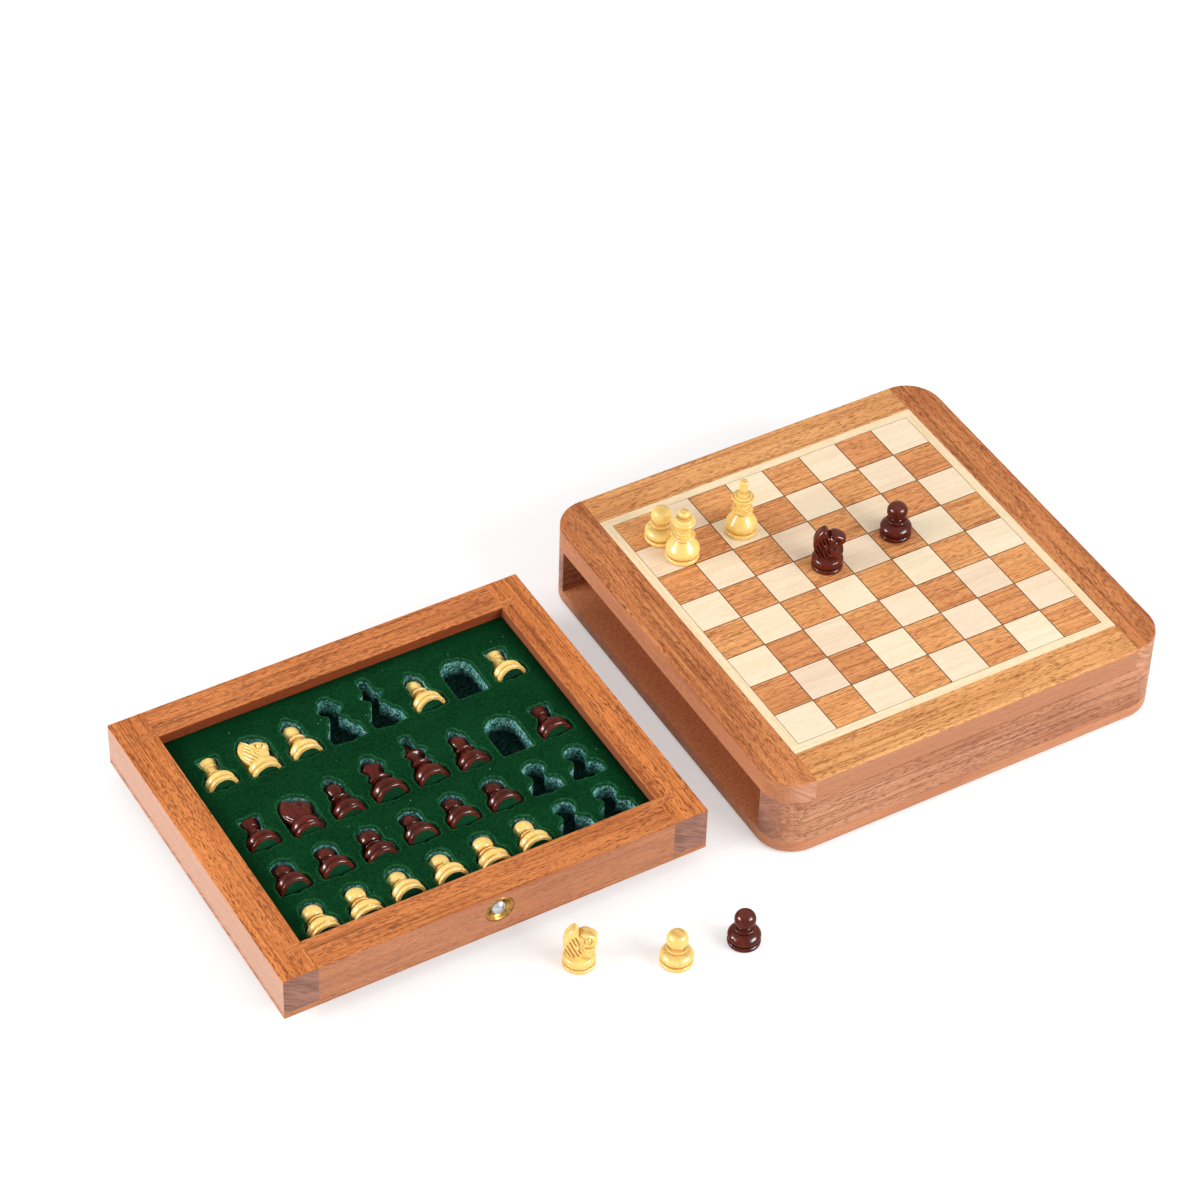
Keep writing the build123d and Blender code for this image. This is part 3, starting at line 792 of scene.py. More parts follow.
def end_rail_outline(outer, inner, half, tongue):
    """The right end rail from above: two soft corners outside and two notches inside."""
    t0, t1 = tongue
    deep = inner + TONGUE_LENGTH
    return np.vstack([
        turn(inner, -half, (0, -1), (-1, 0)),
        bend(outer - END_CORNER, -half + END_CORNER, END_CORNER, -90, 0, SMALL_STEPS),
        bend(outer - END_CORNER, half - END_CORNER, END_CORNER, 0, 90, SMALL_STEPS),
        turn(inner, half, (0, 1), (-1, 0)),
        turn(inner, -t0, joint=(-1, -1)),
        turn(deep, -t0, joint=(-1, -1)),
        turn(deep, -t1, joint=(-1, 1)),
        turn(inner, -t1, joint=(-1, 1)),
        turn(inner, t1, joint=(-1, -1)),
        turn(deep, t1, joint=(-1, -1)),
        turn(deep, t0, joint=(-1, 1)),
        turn(inner, t0, joint=(-1, 1)),
    ])


drawer_low, drawer_high = spot("drawer_bottom")
drawer_middle = (drawer_low[0] + drawer_high[0]) / 2
half_width = drawer_high[1]
tongue_far = -half_width + LONG_RAIL_WIDTH
tongue = (tongue_far - TONGUE_THICKNESS, tongue_far)
low, high = spot("drawer_front_rail")
shoulders = low[0] + TONGUE_LENGTH, high[0] - TONGUE_LENGTH
front_outline = long_rail_outline(*shoulders, -half_width, tongue_far, tongue)
end_low, end_high = spot("drawer_right_rail")
end_outline = end_rail_outline(end_high[0] - drawer_middle, end_low[0] - drawer_middle, half_width, tongue)
left_outline = mirrored(end_outline, 0)
shift = np.array([drawer_middle, 0, 0, 0, 0, 0, 0, 0, 0])
rail_levels = low[2], high[2]
edges = {"low": (0.12, 0.05), "high": (0.35, 0.07)}
catch_low, catch_high = spot("catch_cup")
catch_middle = (catch_low + catch_high) / 2
front_rail = plank("drawer_front_plank", front_outline, *rail_levels, drawer_wood, "x", **edges)
front_rail = bored(front_rail, catch_middle, CATCH_BORE_RADIUS, CATCH_BORE_DEPTH, drawer_wood)
dress(front_rail, "drawer", "drawer_wood", "drawer_front_rail")
rear_rail = plank("drawer_rear_plank", mirrored(front_outline, 1), *rail_levels, drawer_wood, "x", **edges)
dress(rear_rail, "drawer", "drawer_wood", "drawer_rear_rail")
right_rail = plank("drawer_right_plank", end_outline + shift, *rail_levels, end_rail_wood, "y", **edges)
dress(right_rail, "drawer", "drawer_wood", "drawer_right_rail")
left_rail = plank("drawer_left_plank", left_outline + shift, *rail_levels, end_rail_wood, "y", **edges)
dress(left_rail, "drawer", "drawer_wood", "drawer_left_rail")
(x0, y0, bottom), (x1, y1, top) = drawer_low, drawer_high
sheet_outline = box_outline(x0, x1, y0, y1, SHEET_CORNER, SMALL_STEPS)
sheet = plank("drawer_sheet", sheet_outline, bottom, top, sheet_wood, "x", (0.5, 0), (0.05, 0))
dress(sheet, "drawer", "fibreboard", "drawer_bottom")
print("drawer rails made, catch at", catch_middle.round(2))

# %% [markdown]
# The catch and all the men are turned shapes: a profile of radius and height, carried round an
# axis. A smooth profile is drawn with a spline that passes through every named point, and a crease
# is where one run of points ends and the next begins.

# %% Turned shapes
AROUND = 64


def smooth_run(points, steps=5):
    """A spline through the points: between two of them the curve is the cubic whose slope at each
    is half the step from the point before to the point after."""
    points = np.asarray(points, float)
    if len(points) < 3:
        return points
    padded = np.vstack([2 * points[0] - points[1], points, 2 * points[-1] - points[-2]])
    before, start, end, after = padded[:-3], padded[1:-2], padded[2:-1], padded[3:]
    t = np.linspace(0, 1, steps, endpoint=False)[None, :, None]
    curve = 0.5 * (
        2 * start[:, None]
        + (end - before)[:, None] * t
        + (2 * before - 5 * start + 4 * end - after)[:, None] * t**2
        + (3 * start - before - 3 * end + after)[:, None] * t**3
    )
    return np.vstack([curve.reshape(-1, 2), points[-1]])


def smooth_profile(runs, steps=5):
    """Several runs joined into one profile of radius and height."""
    parts = [smooth_run(run, steps) for run in runs]
    profile = np.vstack([parts[0]] + [part[1:] for part in parts[1:]])
    profile[:, 0] = np.clip(profile[:, 0], 0, None)
    return profile


def turned(profile, around=AROUND):
    """A profile that starts and ends on the axis, carried round it: a point is the radius times
    cosine and sine of the angle, at its height. Both poles are one point with a fan of triangles."""
    angle = np.linspace(0, 2 * np.pi, around, endpoint=False)
    body = profile[1:-1]
    rings = np.stack([
        body[:, 0, None] * np.cos(angle),
        body[:, 0, None] * np.sin(angle),
        np.repeat(body[:, 1, None], around, 1),
    ], 2).reshape(-1, 3)
    points = np.vstack([[0, 0, profile[0, 1]], rings, [0, 0, profile[-1, 1]]])
    faces = ring_faces(len(body), around, 1)
    step = np.arange(around)
    after = (step + 1) % around
    last = len(points) - 1
    faces += np.stack([np.zeros_like(step), after + 1, step + 1], 1).tolist()
    faces += np.stack([np.full_like(step, last), last - around + step, last - around + after], 1).tolist()
    return points, faces


def placed(points, origin, across, upward):
    """Points of a piece that stands on the origin, moved to a place: its X goes along across, and its
    axis along upward."""
    across, upward = np.asarray(across, float), np.asarray(upward, float)
    sideways = np.cross(upward, across)
    return np.asarray(origin) + points @ np.stack([across, sideways, upward])


# %% [markdown]
# The ball catch in the drawer's front is a small brass cup with a dished mouth that holds a chromed
# ball. The cup's profile runs from its inner end outwards, over the flange and back down the mouth
# to the floor of the ball's bore. Its heights are counted outwards from the drawer's front.

# %% The ball catch
def metal(name, colour, worn, rough):
    """Plated or polished metal with handling haze in its colour and its roughness."""
    material, tree, shader = new_material(name)
    haze = noise(tree, object_place(tree), (400, 400, 400), 4.0, 0.65)
    feed(tree, shader, {
        "Base Color": mixed(tree, spread(tree, haze, 0.4, 0.7), paint(*colour), paint(*worn)),
        "Roughness": spread(tree, haze, 0.3, 0.7, rough, rough + 0.12),
        "Metallic": 1.0,
    })
    return material


brass = metal("brass", (186, 142, 74), (140, 98, 46), 0.24)
chrome = metal("chrome", (192, 195, 200), (164, 167, 174), 0.05)
BALL_RADIUS, BALL_BORE, BALL_PROUD, BALL_STEPS = 3.7, 3.75, 0.75, 33
catch_face = catch_low[1]
ball_depth = BALL_RADIUS - BALL_PROUD
cup_runs = [
    [(0, -8.8), (4.5, -8.8)],
    [(4.5, -8.8), (4.7, -8.6)],
    [(4.7, -8.6), (4.7, -1.0)],
    [(4.7, -1.0), (5.8, -1.0)],
    [(5.8, -1.0), (5.88, -0.9), (5.88, -0.3), (5.7, -0.05), (5.3, 0.05), (4.9, 0.0)],
    [(4.9, 0.0), (4.6, -0.3), (4.2, -0.8), (3.8, -1.2), (3.45, -1.5)],
    [(3.45, -1.5), (BALL_BORE, -ball_depth)],
    [(BALL_BORE, -ball_depth), (BALL_BORE, -6.8)],
    [(BALL_BORE, -6.8), (0, -6.85)],
]
points, faces = turned(smooth_profile(cup_runs))
mouth = (catch_middle[0], catch_face, catch_middle[2])
cup = make_piece("brass_cup", placed(points, mouth, (1, 0, 0), (0, -1, 0)), faces, brass, 30)
dress(cup, "drawer", "brass", "catch_cup")
arc = np.linspace(-np.pi / 2, np.pi / 2, BALL_STEPS)
ball_profile = np.stack([BALL_RADIUS * np.cos(arc), BALL_RADIUS * np.sin(arc)], 1)
ball_middle = (catch_middle[0], catch_face + ball_depth, catch_middle[2])
points, faces = turned(ball_profile)
ball = make_piece("chrome_ball", placed(points, ball_middle, (1, 0, 0), (0, -1, 0)), faces, chrome, 60)
dress(ball, "catch_ball", "ball_steel", "catch_ball")

# %% [markdown]
# The men are turned on a lathe too. They share a foot: a thin plate, a fine groove and a bulb that
# runs in to the neck. Above it each kind has its own rings. The tables below give radius and height
# in millimetres above the felt's underside, in runs that meet at creases.

# %% The men's profiles
FELT_TOP = 0.35


def foot(radius):
    """The plate that every man stands on, up to the crease where its bulb starts."""
    side = [(-0.35, 0.3), (-0.06, 0.55), (0, 1.1), (-0.05, 1.6), (-0.35, 1.95)]
    return [
        [(0, 0.3), (radius - 0.35, 0.3)],
        [(radius + outwards, height) for outwards, height in side],
        [(radius - 0.35, 1.95), (radius - 1.1, 2.1)],
    ]


man_runs = {
    "pawn": foot(6.35) + [
        [(5.25, 2.1), (5.9, 2.8), (6.33, 4.0), (6.1, 5.0), (5.2, 6.0), (4.0, 6.75), (3.1, 7.2), (2.7, 7.5)],
        [(2.7, 7.5), (3.6, 7.65), (4.05, 7.95), (4.05, 8.3), (3.7, 8.55)],
        [(3.7, 8.55), (2.9, 8.7), (2.45, 9.1), (2.5, 9.5)],
        [
            (2.5, 9.5), (3.3, 9.95), (3.95, 10.9), (4.15, 12.2), (4.0, 13.5), (3.4, 14.65), (2.4, 15.5),
            (1.2, 15.92), (0, 16.0),
        ],
    ],
    "rook": foot(6.3) + [
        [(5.2, 2.1), (5.85, 2.8), (6.27, 4.0), (6.0, 5.2), (5.0, 6.4), (3.7, 7.6), (2.8, 8.6)],
        [(2.8, 8.6), (3.35, 8.8), (3.45, 9.15), (3.1, 9.4)],
        [(3.1, 9.4), (2.55, 9.5)],
        [(2.55, 9.5), (2.45, 11.0), (2.55, 12.6)],
        [(2.55, 12.6), (3.3, 12.8), (3.5, 13.1), (3.2, 13.4)],
        [(3.2, 13.4), (3.45, 14.9), (3.9, 16.0), (3.95, 16.7), (3.7, 17.0)],
        [(3.7, 17.0), (2.8, 17.0)],
        [(2.8, 17.0), (2.6, 16.3)],
        [(2.6, 16.3), (0, 16.2)],
    ],
    "bishop": foot(6.3) + [
        [(5.2, 2.1), (5.85, 2.8), (6.27, 4.0), (6.0, 5.2), (5.0, 6.6), (3.8, 8.0), (3.0, 9.2), (2.65, 10.1)],
        [(2.65, 10.1), (3.5, 10.3), (3.95, 10.65), (3.95, 11.0), (3.6, 11.25)],
        [(3.6, 11.25), (2.9, 11.4)],
        [(2.9, 11.4), (3.15, 11.7), (2.9, 12.1), (2.4, 12.3)],
        [(2.4, 12.3), (3.0, 13.4), (3.5, 15.2), (3.35, 16.7), (2.6, 18.2), (1.4, 19.2), (0.75, 19.6)],
        [(0.75, 19.6), (1.0, 20.0), (0.8, 20.45), (0, 20.65)],
    ],
    "queen": foot(6.75) + [
        [(5.65, 2.1), (6.3, 2.8), (6.78, 4.2), (6.6, 5.4), (5.6, 7.0), (4.2, 8.6), (3.2, 9.7), (2.7, 10.5)],
        [(2.7, 10.5), (3.8, 10.75), (4.5, 11.1)],
        [(4.5, 11.1), (4.75, 11.4), (4.75, 11.8), (4.5, 12.1)],
        [(4.5, 12.1), (3.85, 12.15)],
        [(3.85, 12.15), (3.8, 12.6), (3.4, 12.85)],
        [(3.4, 12.85), (2.75, 13.2), (2.55, 14.1), (2.8, 15.3), (3.5, 16.5), (4.3, 17.5)],
        [(4.3, 17.5), (4.6, 18.0), (4.6, 18.8), (4.35, 19.2)],
        [(4.35, 19.2), (4.05, 19.3)],
        [(4.05, 19.3), (3.9, 19.85), (3.1, 20.55), (2.2, 20.85), (1.6, 21.0)],
        [(1.6, 21.0), (2.2, 21.6), (2.45, 22.3), (2.15, 23.1), (1.4, 23.75), (0, 24.0)],
    ],
    "king": foot(6.4) + [
        [(5.3, 2.1), (5.95, 2.8), (6.38, 4.1), (6.2, 5.3), (5.2, 6.9), (4.0, 8.6), (3.1, 10.0), (2.6, 10.9)],
        [(2.6, 10.9), (3.5, 11.1), (4.1, 11.4)],
        [(4.1, 11.4), (4.3, 11.7), (4.3, 12.1), (4.05, 12.35)],
        [(4.05, 12.35), (3.5, 12.4)],
        [(3.5, 12.4), (3.45, 12.8), (3.1, 13.0)],
        [(3.1, 13.0), (2.45, 13.3), (2.25, 14.1), (2.5, 15.2), (3.2, 16.3), (4.0, 17.0)],
        [(4.0, 17.0), (4.4, 17.3), (4.5, 17.8), (4.3, 18.2)],
        [(4.3, 18.2), (3.4, 18.25)],
        [(3.4, 18.25), (3.35, 18.7), (3.0, 18.95)],
        [(3.0, 18.95), (2.1, 19.0)],
        [(2.1, 19.0), (2.1, 19.6), (1.6, 19.95)],
        [(1.6, 19.95), (1.05, 20.25), (0.95, 20.75), (1.1, 21.15)],
        [(1.1, 21.15), (1.6, 21.4), (1.75, 21.85)],
        [(1.75, 21.85), (1.78, 23.5), (1.75, 25.3), (1.55, 26.0), (1.0, 26.33), (0, 26.4)],
    ],
    "knight": foot(6.3) + [
        [(5.2, 2.1), (5.85, 2.7), (6.25, 3.7), (6.2, 4.8), (5.75, 5.7), (4.9, 6.3), (4.2, 6.5)],
        [(4.2, 6.5), (0, 6.6)],
    ],
}


def grooves(profile, reach=1.4, depth=0.9):
    """How deep each point of a profile lies in a groove, from 0 to 1: the widest radius within the
    reach above it or below it, whichever is less, less its own radius, over the depth."""
    radius, height = profile.T
    gap = height[None, :] - height[:, None]
    above = np.max(np.where((gap >= 0) & (gap < reach), radius[None, :], -1), axis=1)
    below = np.max(np.where((gap <= 0) & (gap > -reach), radius[None, :], -1), axis=1)
    return np.clip((np.minimum(above, below) - radius) / depth, 0, 1)


profiles = {kind: smooth_profile(runs) for kind, runs in man_runs.items()}

# %% [markdown]
# The knight's head is carved, not turned. Its side view is a closed outline round a centre, and the
# head is that outline drawn in towards both cheeks like a very square ellipse, so the cheeks come
# out nearly flat and the rim round. The chisel's cuts are grooves: the depth at a point is a bell
# curve of its distance to a line on the cheek. The four heads share one back, and no two are quite
# alike in front: a standing knight has a high brow, and the dark one an open mouth, while the two in
# the drawer have a lower brow, a closed mouth and shallower cuts. A light knight's eye is a ring
# with a dot, and a dark one's a single hollow.

# %% The knight's head
HEAD_CENTRE = (0.2, 12.4)
HEAD_HALF_THICKNESS = 3.7
HEAD_REACH = (8, 10)
HEAD_STEPS = 24
back_points = [
    (-4.0, 5.9), (-4.4, 7.2), (-5.5, 9.4), (-6.1, 12.4), (-5.5, 15.6), (-4.1, 18.1), (-2.6, 19.6),
    (-1.7, 19.7), (-0.8, 18.5),
]
high_brow = [(-0.1, 17.0), (0.7, 17.9), (2.3, 18.2), (4.5, 17.4), (6.1, 16.2), (6.6, 14.8)]
low_brow = [(-0.5, 16.8), (0.8, 17.2), (2.8, 16.8), (4.8, 15.8), (6.2, 14.7), (6.5, 13.8)]
slit_mouth = [(6.5, 12.9), (5.0, 12.0), (6.0, 11.1)]
open_mouth = [(6.3, 14.5), (5.3, 13.5), (2.7, 11.9), (4.6, 10.2), (5.8, 9.2)]
low_mouth = [(6.3, 12.2), (5.7, 11.2), (4.6, 10.6), (5.2, 9.9)]
chest_points = [(5.9, 9.2), (4.9, 7.4), (4.1, 5.9)]
thin_chest = [(4.9, 8.8), (3.7, 7.6), (3.7, 5.9)]
mane_cuts = [
    ((-1.4, 16.6), (1.3, 11.0)), ((-2.5, 15.8), (0.7, 9.0)), ((-3.5, 14.4), (-0.2, 7.5)),
    ((-4.4, 12.7), (-1.7, 6.9)), ((-5.1, 10.7), (-3.2, 7.0)),
]
mouth_cuts = {"light": ((2.3, 12.1), (6.9, 12.0)), "dark": ((1.4, 11.6), (3.4, 11.9))}
ear_cut = ((0.2, 17.6), (1.7, 16.2))
jaw_cut = ((1.7, 16.2), (1.5, 12.5))
MANE_DEPTH, MOUTH_DEPTH, CHISEL_WIDTH = 0.85, 1.2, 0.32
EAR_DEPTH, EAR_WIDTH = 0.5, 0.4
JAW_DEPTH, JAW_WIDTH = 0.2, 0.35
EYE, EYE_RADIUS = (3.3, 15.1), 1.3
HOLLOW_EYE_DEPTH, HOLLOW_EYE_WIDTH = 1.0, 0.95
EYE_RING_DEPTH, EYE_RING_WIDTH = 0.6, 0.24
PUPIL_DEPTH, PUPIL_WIDTH = 0.5, 0.35


def distance_to_cut(x, z, cut):
    """How far points are from a straight line between two ends: the point less its nearest place on
    the line, where the place is held between the ends."""
    (x0, z0), (x1, z1) = cut
    share = ((x - x0) * (x1 - x0) + (z - z0) * (z1 - z0)) / ((x1 - x0) ** 2 + (z1 - z0) ** 2)
    share = np.clip(share, 0, 1)
    return np.hypot(x - x0 - share * (x1 - x0), z - z0 - share * (z1 - z0))


def bell(distance, width):
    """A bell curve that is one at no distance and falls off over the width."""
    return np.exp(-((distance / width) ** 2))


def evenly_spaced(line, count):
    """Points at even steps along a line, from its start to one step before its end."""
    lengths = np.concatenate([[0], np.cumsum(np.hypot(*np.diff(line, axis=0).T))])
    places = np.linspace(0, lengths[-1], count, endpoint=False)
    return np.stack([np.interp(places, lengths, line[:, 0]), np.interp(places, lengths, line[:, 1])], 1)


def carving(x, z, shade, carved, eye):
    """How deep the chisel went at points of the cheek: the sum of the bell curves of all cuts and of
    the eye. Carved is how deep the mane and the mouth are cut."""
    cuts = [(cut, MANE_DEPTH * carved, CHISEL_WIDTH) for cut in mane_cuts]
    cuts.append((mouth_cuts[shade], MOUTH_DEPTH * carved, CHISEL_WIDTH))
    cuts += [(ear_cut, EAR_DEPTH, EAR_WIDTH), (jaw_cut, JAW_DEPTH, JAW_WIDTH)]
    depth = sum(deepest * bell(distance_to_cut(x, z, cut), width) for cut, deepest, width in cuts)
    from_eye = np.hypot(x - eye[0], z - eye[1])
    if shade == "dark":
        return depth + HOLLOW_EYE_DEPTH * bell(from_eye, HOLLOW_EYE_WIDTH)
    depth = depth + EYE_RING_DEPTH * bell(from_eye - EYE_RADIUS, EYE_RING_WIDTH)
    return depth + PUPIL_DEPTH * bell(from_eye, PUPIL_WIDTH)


def knight_head(front, shade, carved=1.0, eye=EYE, around=240, across=80, squareness=5.0):
    """The head as a grid: one parameter goes round the outline, which is the back and the given
    front, and the other from one cheek to the other. At an angle a across, the outline is scaled by
    cosine a, and the thickness is sine a, both to the power 2 over the squareness. The head narrows
    towards the ears and the nose, and the carving takes off depth, on the cheeks sideways and at the
    rim towards the centre."""
    corners = back_points + front
    ring = np.array(corners + corners[:3])
    closed = smooth_run(ring, HEAD_STEPS)[HEAD_STEPS:HEAD_STEPS * (len(corners) + 1)]
    outline = evenly_spaced(closed, around)
    angle = np.linspace(-np.pi / 2, np.pi / 2, across + 2)[1:-1]
    shrink = np.abs(np.cos(angle)) ** (2 / squareness)
    side = np.sign(np.sin(angle)) * np.abs(np.sin(angle)) ** (2 / squareness)
    centre = np.array(HEAD_CENTRE)
    flat = centre + shrink[:, None, None] * (outline - centre)[None]
    x, z = flat[..., 0], flat[..., 1]
    depth = carving(x, z, shade, carved, eye)
    narrow = 1 - 0.25 * np.clip((z - 11) / 8, 0, 1) ** 1.5 - 0.12 * np.clip((x - 3) / 3.5, 0, 1)
    y = side[:, None] * HEAD_HALF_THICKNESS * narrow
    rim = 1 - np.abs(side)[:, None]
    x = x - depth * (x - centre[0]) / HEAD_REACH[0] * rim
    z = z - depth * (z - centre[1]) / HEAD_REACH[1] * rim
    y = y - np.sign(y) * np.minimum(depth, np.abs(y) * 0.6)
    points = np.stack([x, y, z], 2).reshape(-1, 3)
    poles = [[centre[0], cheek.mean(), centre[1]] for cheek in (y[0], y[-1])]
    points = np.vstack([points, poles])
    hollow = np.append(np.clip(depth.ravel() / 0.8, 0, 1), [0, 0])
    faces = ring_faces(across, around)
    step = np.arange(around)
    after = (step + 1) % around
    first, last = len(points) - 2, len(points) - 1
    top = (across - 1) * around
    faces += np.stack([np.full_like(step, first), after, step], 1).tolist()
    faces += np.stack([np.full_like(step, last), top + step, top + after], 1).tolist()
    return points, faces, hollow


flat_face = low_brow + low_mouth + thin_chest
heads = {
    "light_knight_1": knight_head(flat_face, "light", 0.5, (2.9, 13.9)),
    "light_knight_2": knight_head(high_brow + slit_mouth + chest_points, "light"),
    "dark_knight_1": knight_head(flat_face, "dark", 0.35, (2.6, 14.2)),
    "dark_knight_2": knight_head(high_brow + open_mouth + chest_points, "dark"),
}
print("faces in a knight's head:", len(heads["light_knight_1"][1]))

# %% [markdown]
# Felt is a mat of short fibres: it has no gloss, its colour is uneven both from fibre to fibre and
# in larger patches, and light that grazes it catches on the ends of the fibres.

# %% Felt
felt, tree, shader = new_material("green_felt")
place = object_place(tree)
fuzz = noise(tree, place, (1800, 1800, 1800), 4.0, 0.7)
blend = weighed(tree, (fuzz, 0.6), (noise(tree, place, (60, 90, 60), 3.0), 0.4))
feed(tree, shader, {
    "Base Color": mixed(tree, spread(tree, blend, 0.35, 0.68), paint(8, 48, 28), paint(22, 78, 46)),
    "Normal": bumped(tree, fuzz, 0.5, 0.25),
    "Roughness": 0.95,
    "Sheen Weight": 0.04,
    "Sheen Roughness": 0.5,
    "Specular IOR Level": 0.05,
    "IOR": 1.06,
})

# %% [markdown]
# Now all 32 men are put in their places. Those in the drawer lie in pockets, with their heads along
# Y: a man whose pocket has room for it tips its head down by a few degrees. Its height follows from
# its own profile: the lowest point of the tipped man is a little above the pocket's floor. The rest
# stand on the board and on the table. Each man gets a thin felt disc under its foot.

# %% The men in their places
POCKET_FLOOR, VELVET_TOP = 13.4, spot("velvet_insert")[1][2]
PITCH, COLUMNS = 17.7, 8
CLEARANCE, LIE_GAP = 0.45, 0.3
tilts = {"pawn": 12, "rook": 9, "bishop": 10, "queen": 8, "king": 8, "knight": 0}
rows = {"light_pawn": -57.2, "dark_pawn": -34.0, "dark_back": -9.1, "light_back": 26.2}
FACING = np.radians(-32)
ON_BOARD, ON_TABLE = 38.15, 0.0
FELT_INSET, FELT_EDGE, FELT_AROUND = 1.1, (0.1, 0.12), 48


def column_x(column):
    """The middle of a column of pockets."""
    return drawer_middle + (column - (COLUMNS - 1) / 2) * PITCH


def add_man(name, kind, origin, across, upward):
    """One man: its turned body, the carved head of a knight, and the felt under its foot."""
    profile = profiles[kind]
    points, faces = turned(profile)
    deep = grooves(profile)
    hollow = np.concatenate([deep[:1], np.repeat(deep[1:-1], AROUND), deep[-1:]])
    light = name.startswith("light")
    if kind == "knight":
        head_points, head_faces, head_hollow = heads[name]
        head = [[index + len(points) for index in face] for face in head_faces]
        points, faces = np.vstack([points, head_points]), faces + head
        hollow = np.concatenate([hollow, head_hollow])
    man = make_piece(
        name + "_man", placed(points, origin, across, upward), faces,
        light_man_wood if light else dark_man_wood, 38, points[:, GRAIN_ORDER["z"]], upward, hollow,
    )
    dress(man, name, "boxwood" if light else "stained_boxwood", name)
    radius = profile[1, 0] - FELT_INSET
    flat = radius - FELT_EDGE[0]
    disc = [
        [(0, 0), (flat, 0)],
        [(flat, 0), (radius, FELT_EDGE[1]), (radius, FELT_TOP)],
        [(radius, FELT_TOP), (0, FELT_TOP)],
    ]
    points, faces = turned(smooth_profile(disc, 3), FELT_AROUND)
    pad = make_piece(name + "_felt", placed(points, origin, across, upward), faces, felt, 50)
    dress(pad, name, "felt")


def lay_man(name, kind, column, row_line, tip):
    """A man in its pocket. Its axis points along Y, turned down by a share of its kind's tilt, and
    its height is the deepest of height times sine plus radius times cosine over its profile."""
    tilt = np.radians(tip * tilts[kind])
    profile = profiles[kind]
    deepest = np.max(profile[:, 1] * np.sin(tilt) + profile[:, 0] * np.cos(tilt))
    widest = np.max(profile[:, 0])
    y = row_line + CLEARANCE + widest * np.sin(tilt)
    origin = (column_x(column), y, POCKET_FLOOR + LIE_GAP + deepest)
    add_man(name, kind, origin, (1, 0, 0), (0, np.cos(tilt), -np.sin(tilt)))


lying = [
    ("light_rook_1", "rook", 0, "light_back", 0.7),
    ("light_knight_1", "knight", 1, "light_back", 0),
    ("light_bishop_1", "bishop", 2, "light_back", 0.5),
    ("light_bishop_2", "bishop", 5, "light_back", 0.9),
    ("light_rook_2", "rook", 7, "light_back", 1),
    ("dark_rook_1", "rook", 0, "dark_back", 0.9),
    ("dark_knight_1", "knight", 1, "dark_back", 0),
    ("dark_bishop_1", "bishop", 2, "dark_back", 0.1),
    ("dark_queen", "queen", 3, "dark_back", 1),
    ("dark_king", "king", 4, "dark_back", 1),
    ("dark_bishop_2", "bishop", 5, "dark_back", 0.2),
    ("dark_rook_2", "rook", 7, "dark_back", 0.9),
]
pawn_tips = [(1, 0.1), (0.9, 0), (0, 0.9), (1, 0.7), (0.8, 0), (0.9, 0.4)]
for column, (dark_tip, light_tip) in enumerate(pawn_tips):
    lying.append((f"dark_pawn_{column + 1}", "pawn", column, "dark_pawn", dark_tip))
    lying.append((f"light_pawn_{column + 1}", "pawn", column, "light_pawn", light_tip))
for name, kind, column, row, tip in lying:
    lay_man(name, kind, column, rows[row], tip)

standing = [
    ("light_pawn_7", "pawn", -56.5, 54.5, ON_BOARD),
    ("light_queen", "queen", -54.3, 41.3, ON_BOARD),
    ("light_king", "king", -26.1, 43.0, ON_BOARD),
    ("dark_knight_2", "knight", -7.1, 9.2, ON_BOARD),
    ("dark_pawn_7", "pawn", 26.8, 11.9, ON_BOARD),
    ("light_knight_2", "knight", -179.0, -96.0, ON_TABLE),
    ("light_pawn_8", "pawn", -147.0, -112.5, ON_TABLE),
    ("dark_pawn_8", "pawn", -120.0, -116.0, ON_TABLE),
]
for name, kind, x, y, z in standing:
    add_man(name, kind, (x, y, z), (np.cos(FACING), np.sin(FACING), 0), (0, 0, 1))
print("men made:", len(lying) + len(standing))

# %% [markdown]
# The insert is velvet glued over foam that was cut with a shaped knife for every man. One closed
# surface does it: a flat top with 32 holes, and in each hole a dish whose wall runs down from a
# rounded lip to the floor. A hole's outline is the man's own side view, taken as the widest it gets
# within a small window, with a clearance, because a knife follows a shape only roughly. The top is
# cut into triangles round the holes by a tessellator, so no faces are wasted on it. Where a turned
# man is away, which is pawns seven and eight and the light queen and king, its pocket is narrower
# at the neck, because nothing holds the foam apart. A knight's pocket is a plain arch.

# %% The velvet insert
POINTS_ROUND, OUTLINE_LEVELS = 96, 60
SPRING_BACK, SPRING_WIDTH = 1.8, 2.2
WINDOW, LEAST_HALF_WIDTH = 0.1, 0.6
RIM_INSET = 0.5
neck_heights = {"pawn": 8.9, "queen": 13.6, "king": 13.6}
knight_arch = [
    (-6.75, -0.45), (-6.75, 9.6), (-6.45, 14.8), (-5.05, 18.2), (-2.0, 20.5), (2.0, 20.3),
    (5.65, 17.8), (7.05, 14.8), (6.85, -0.45),
]


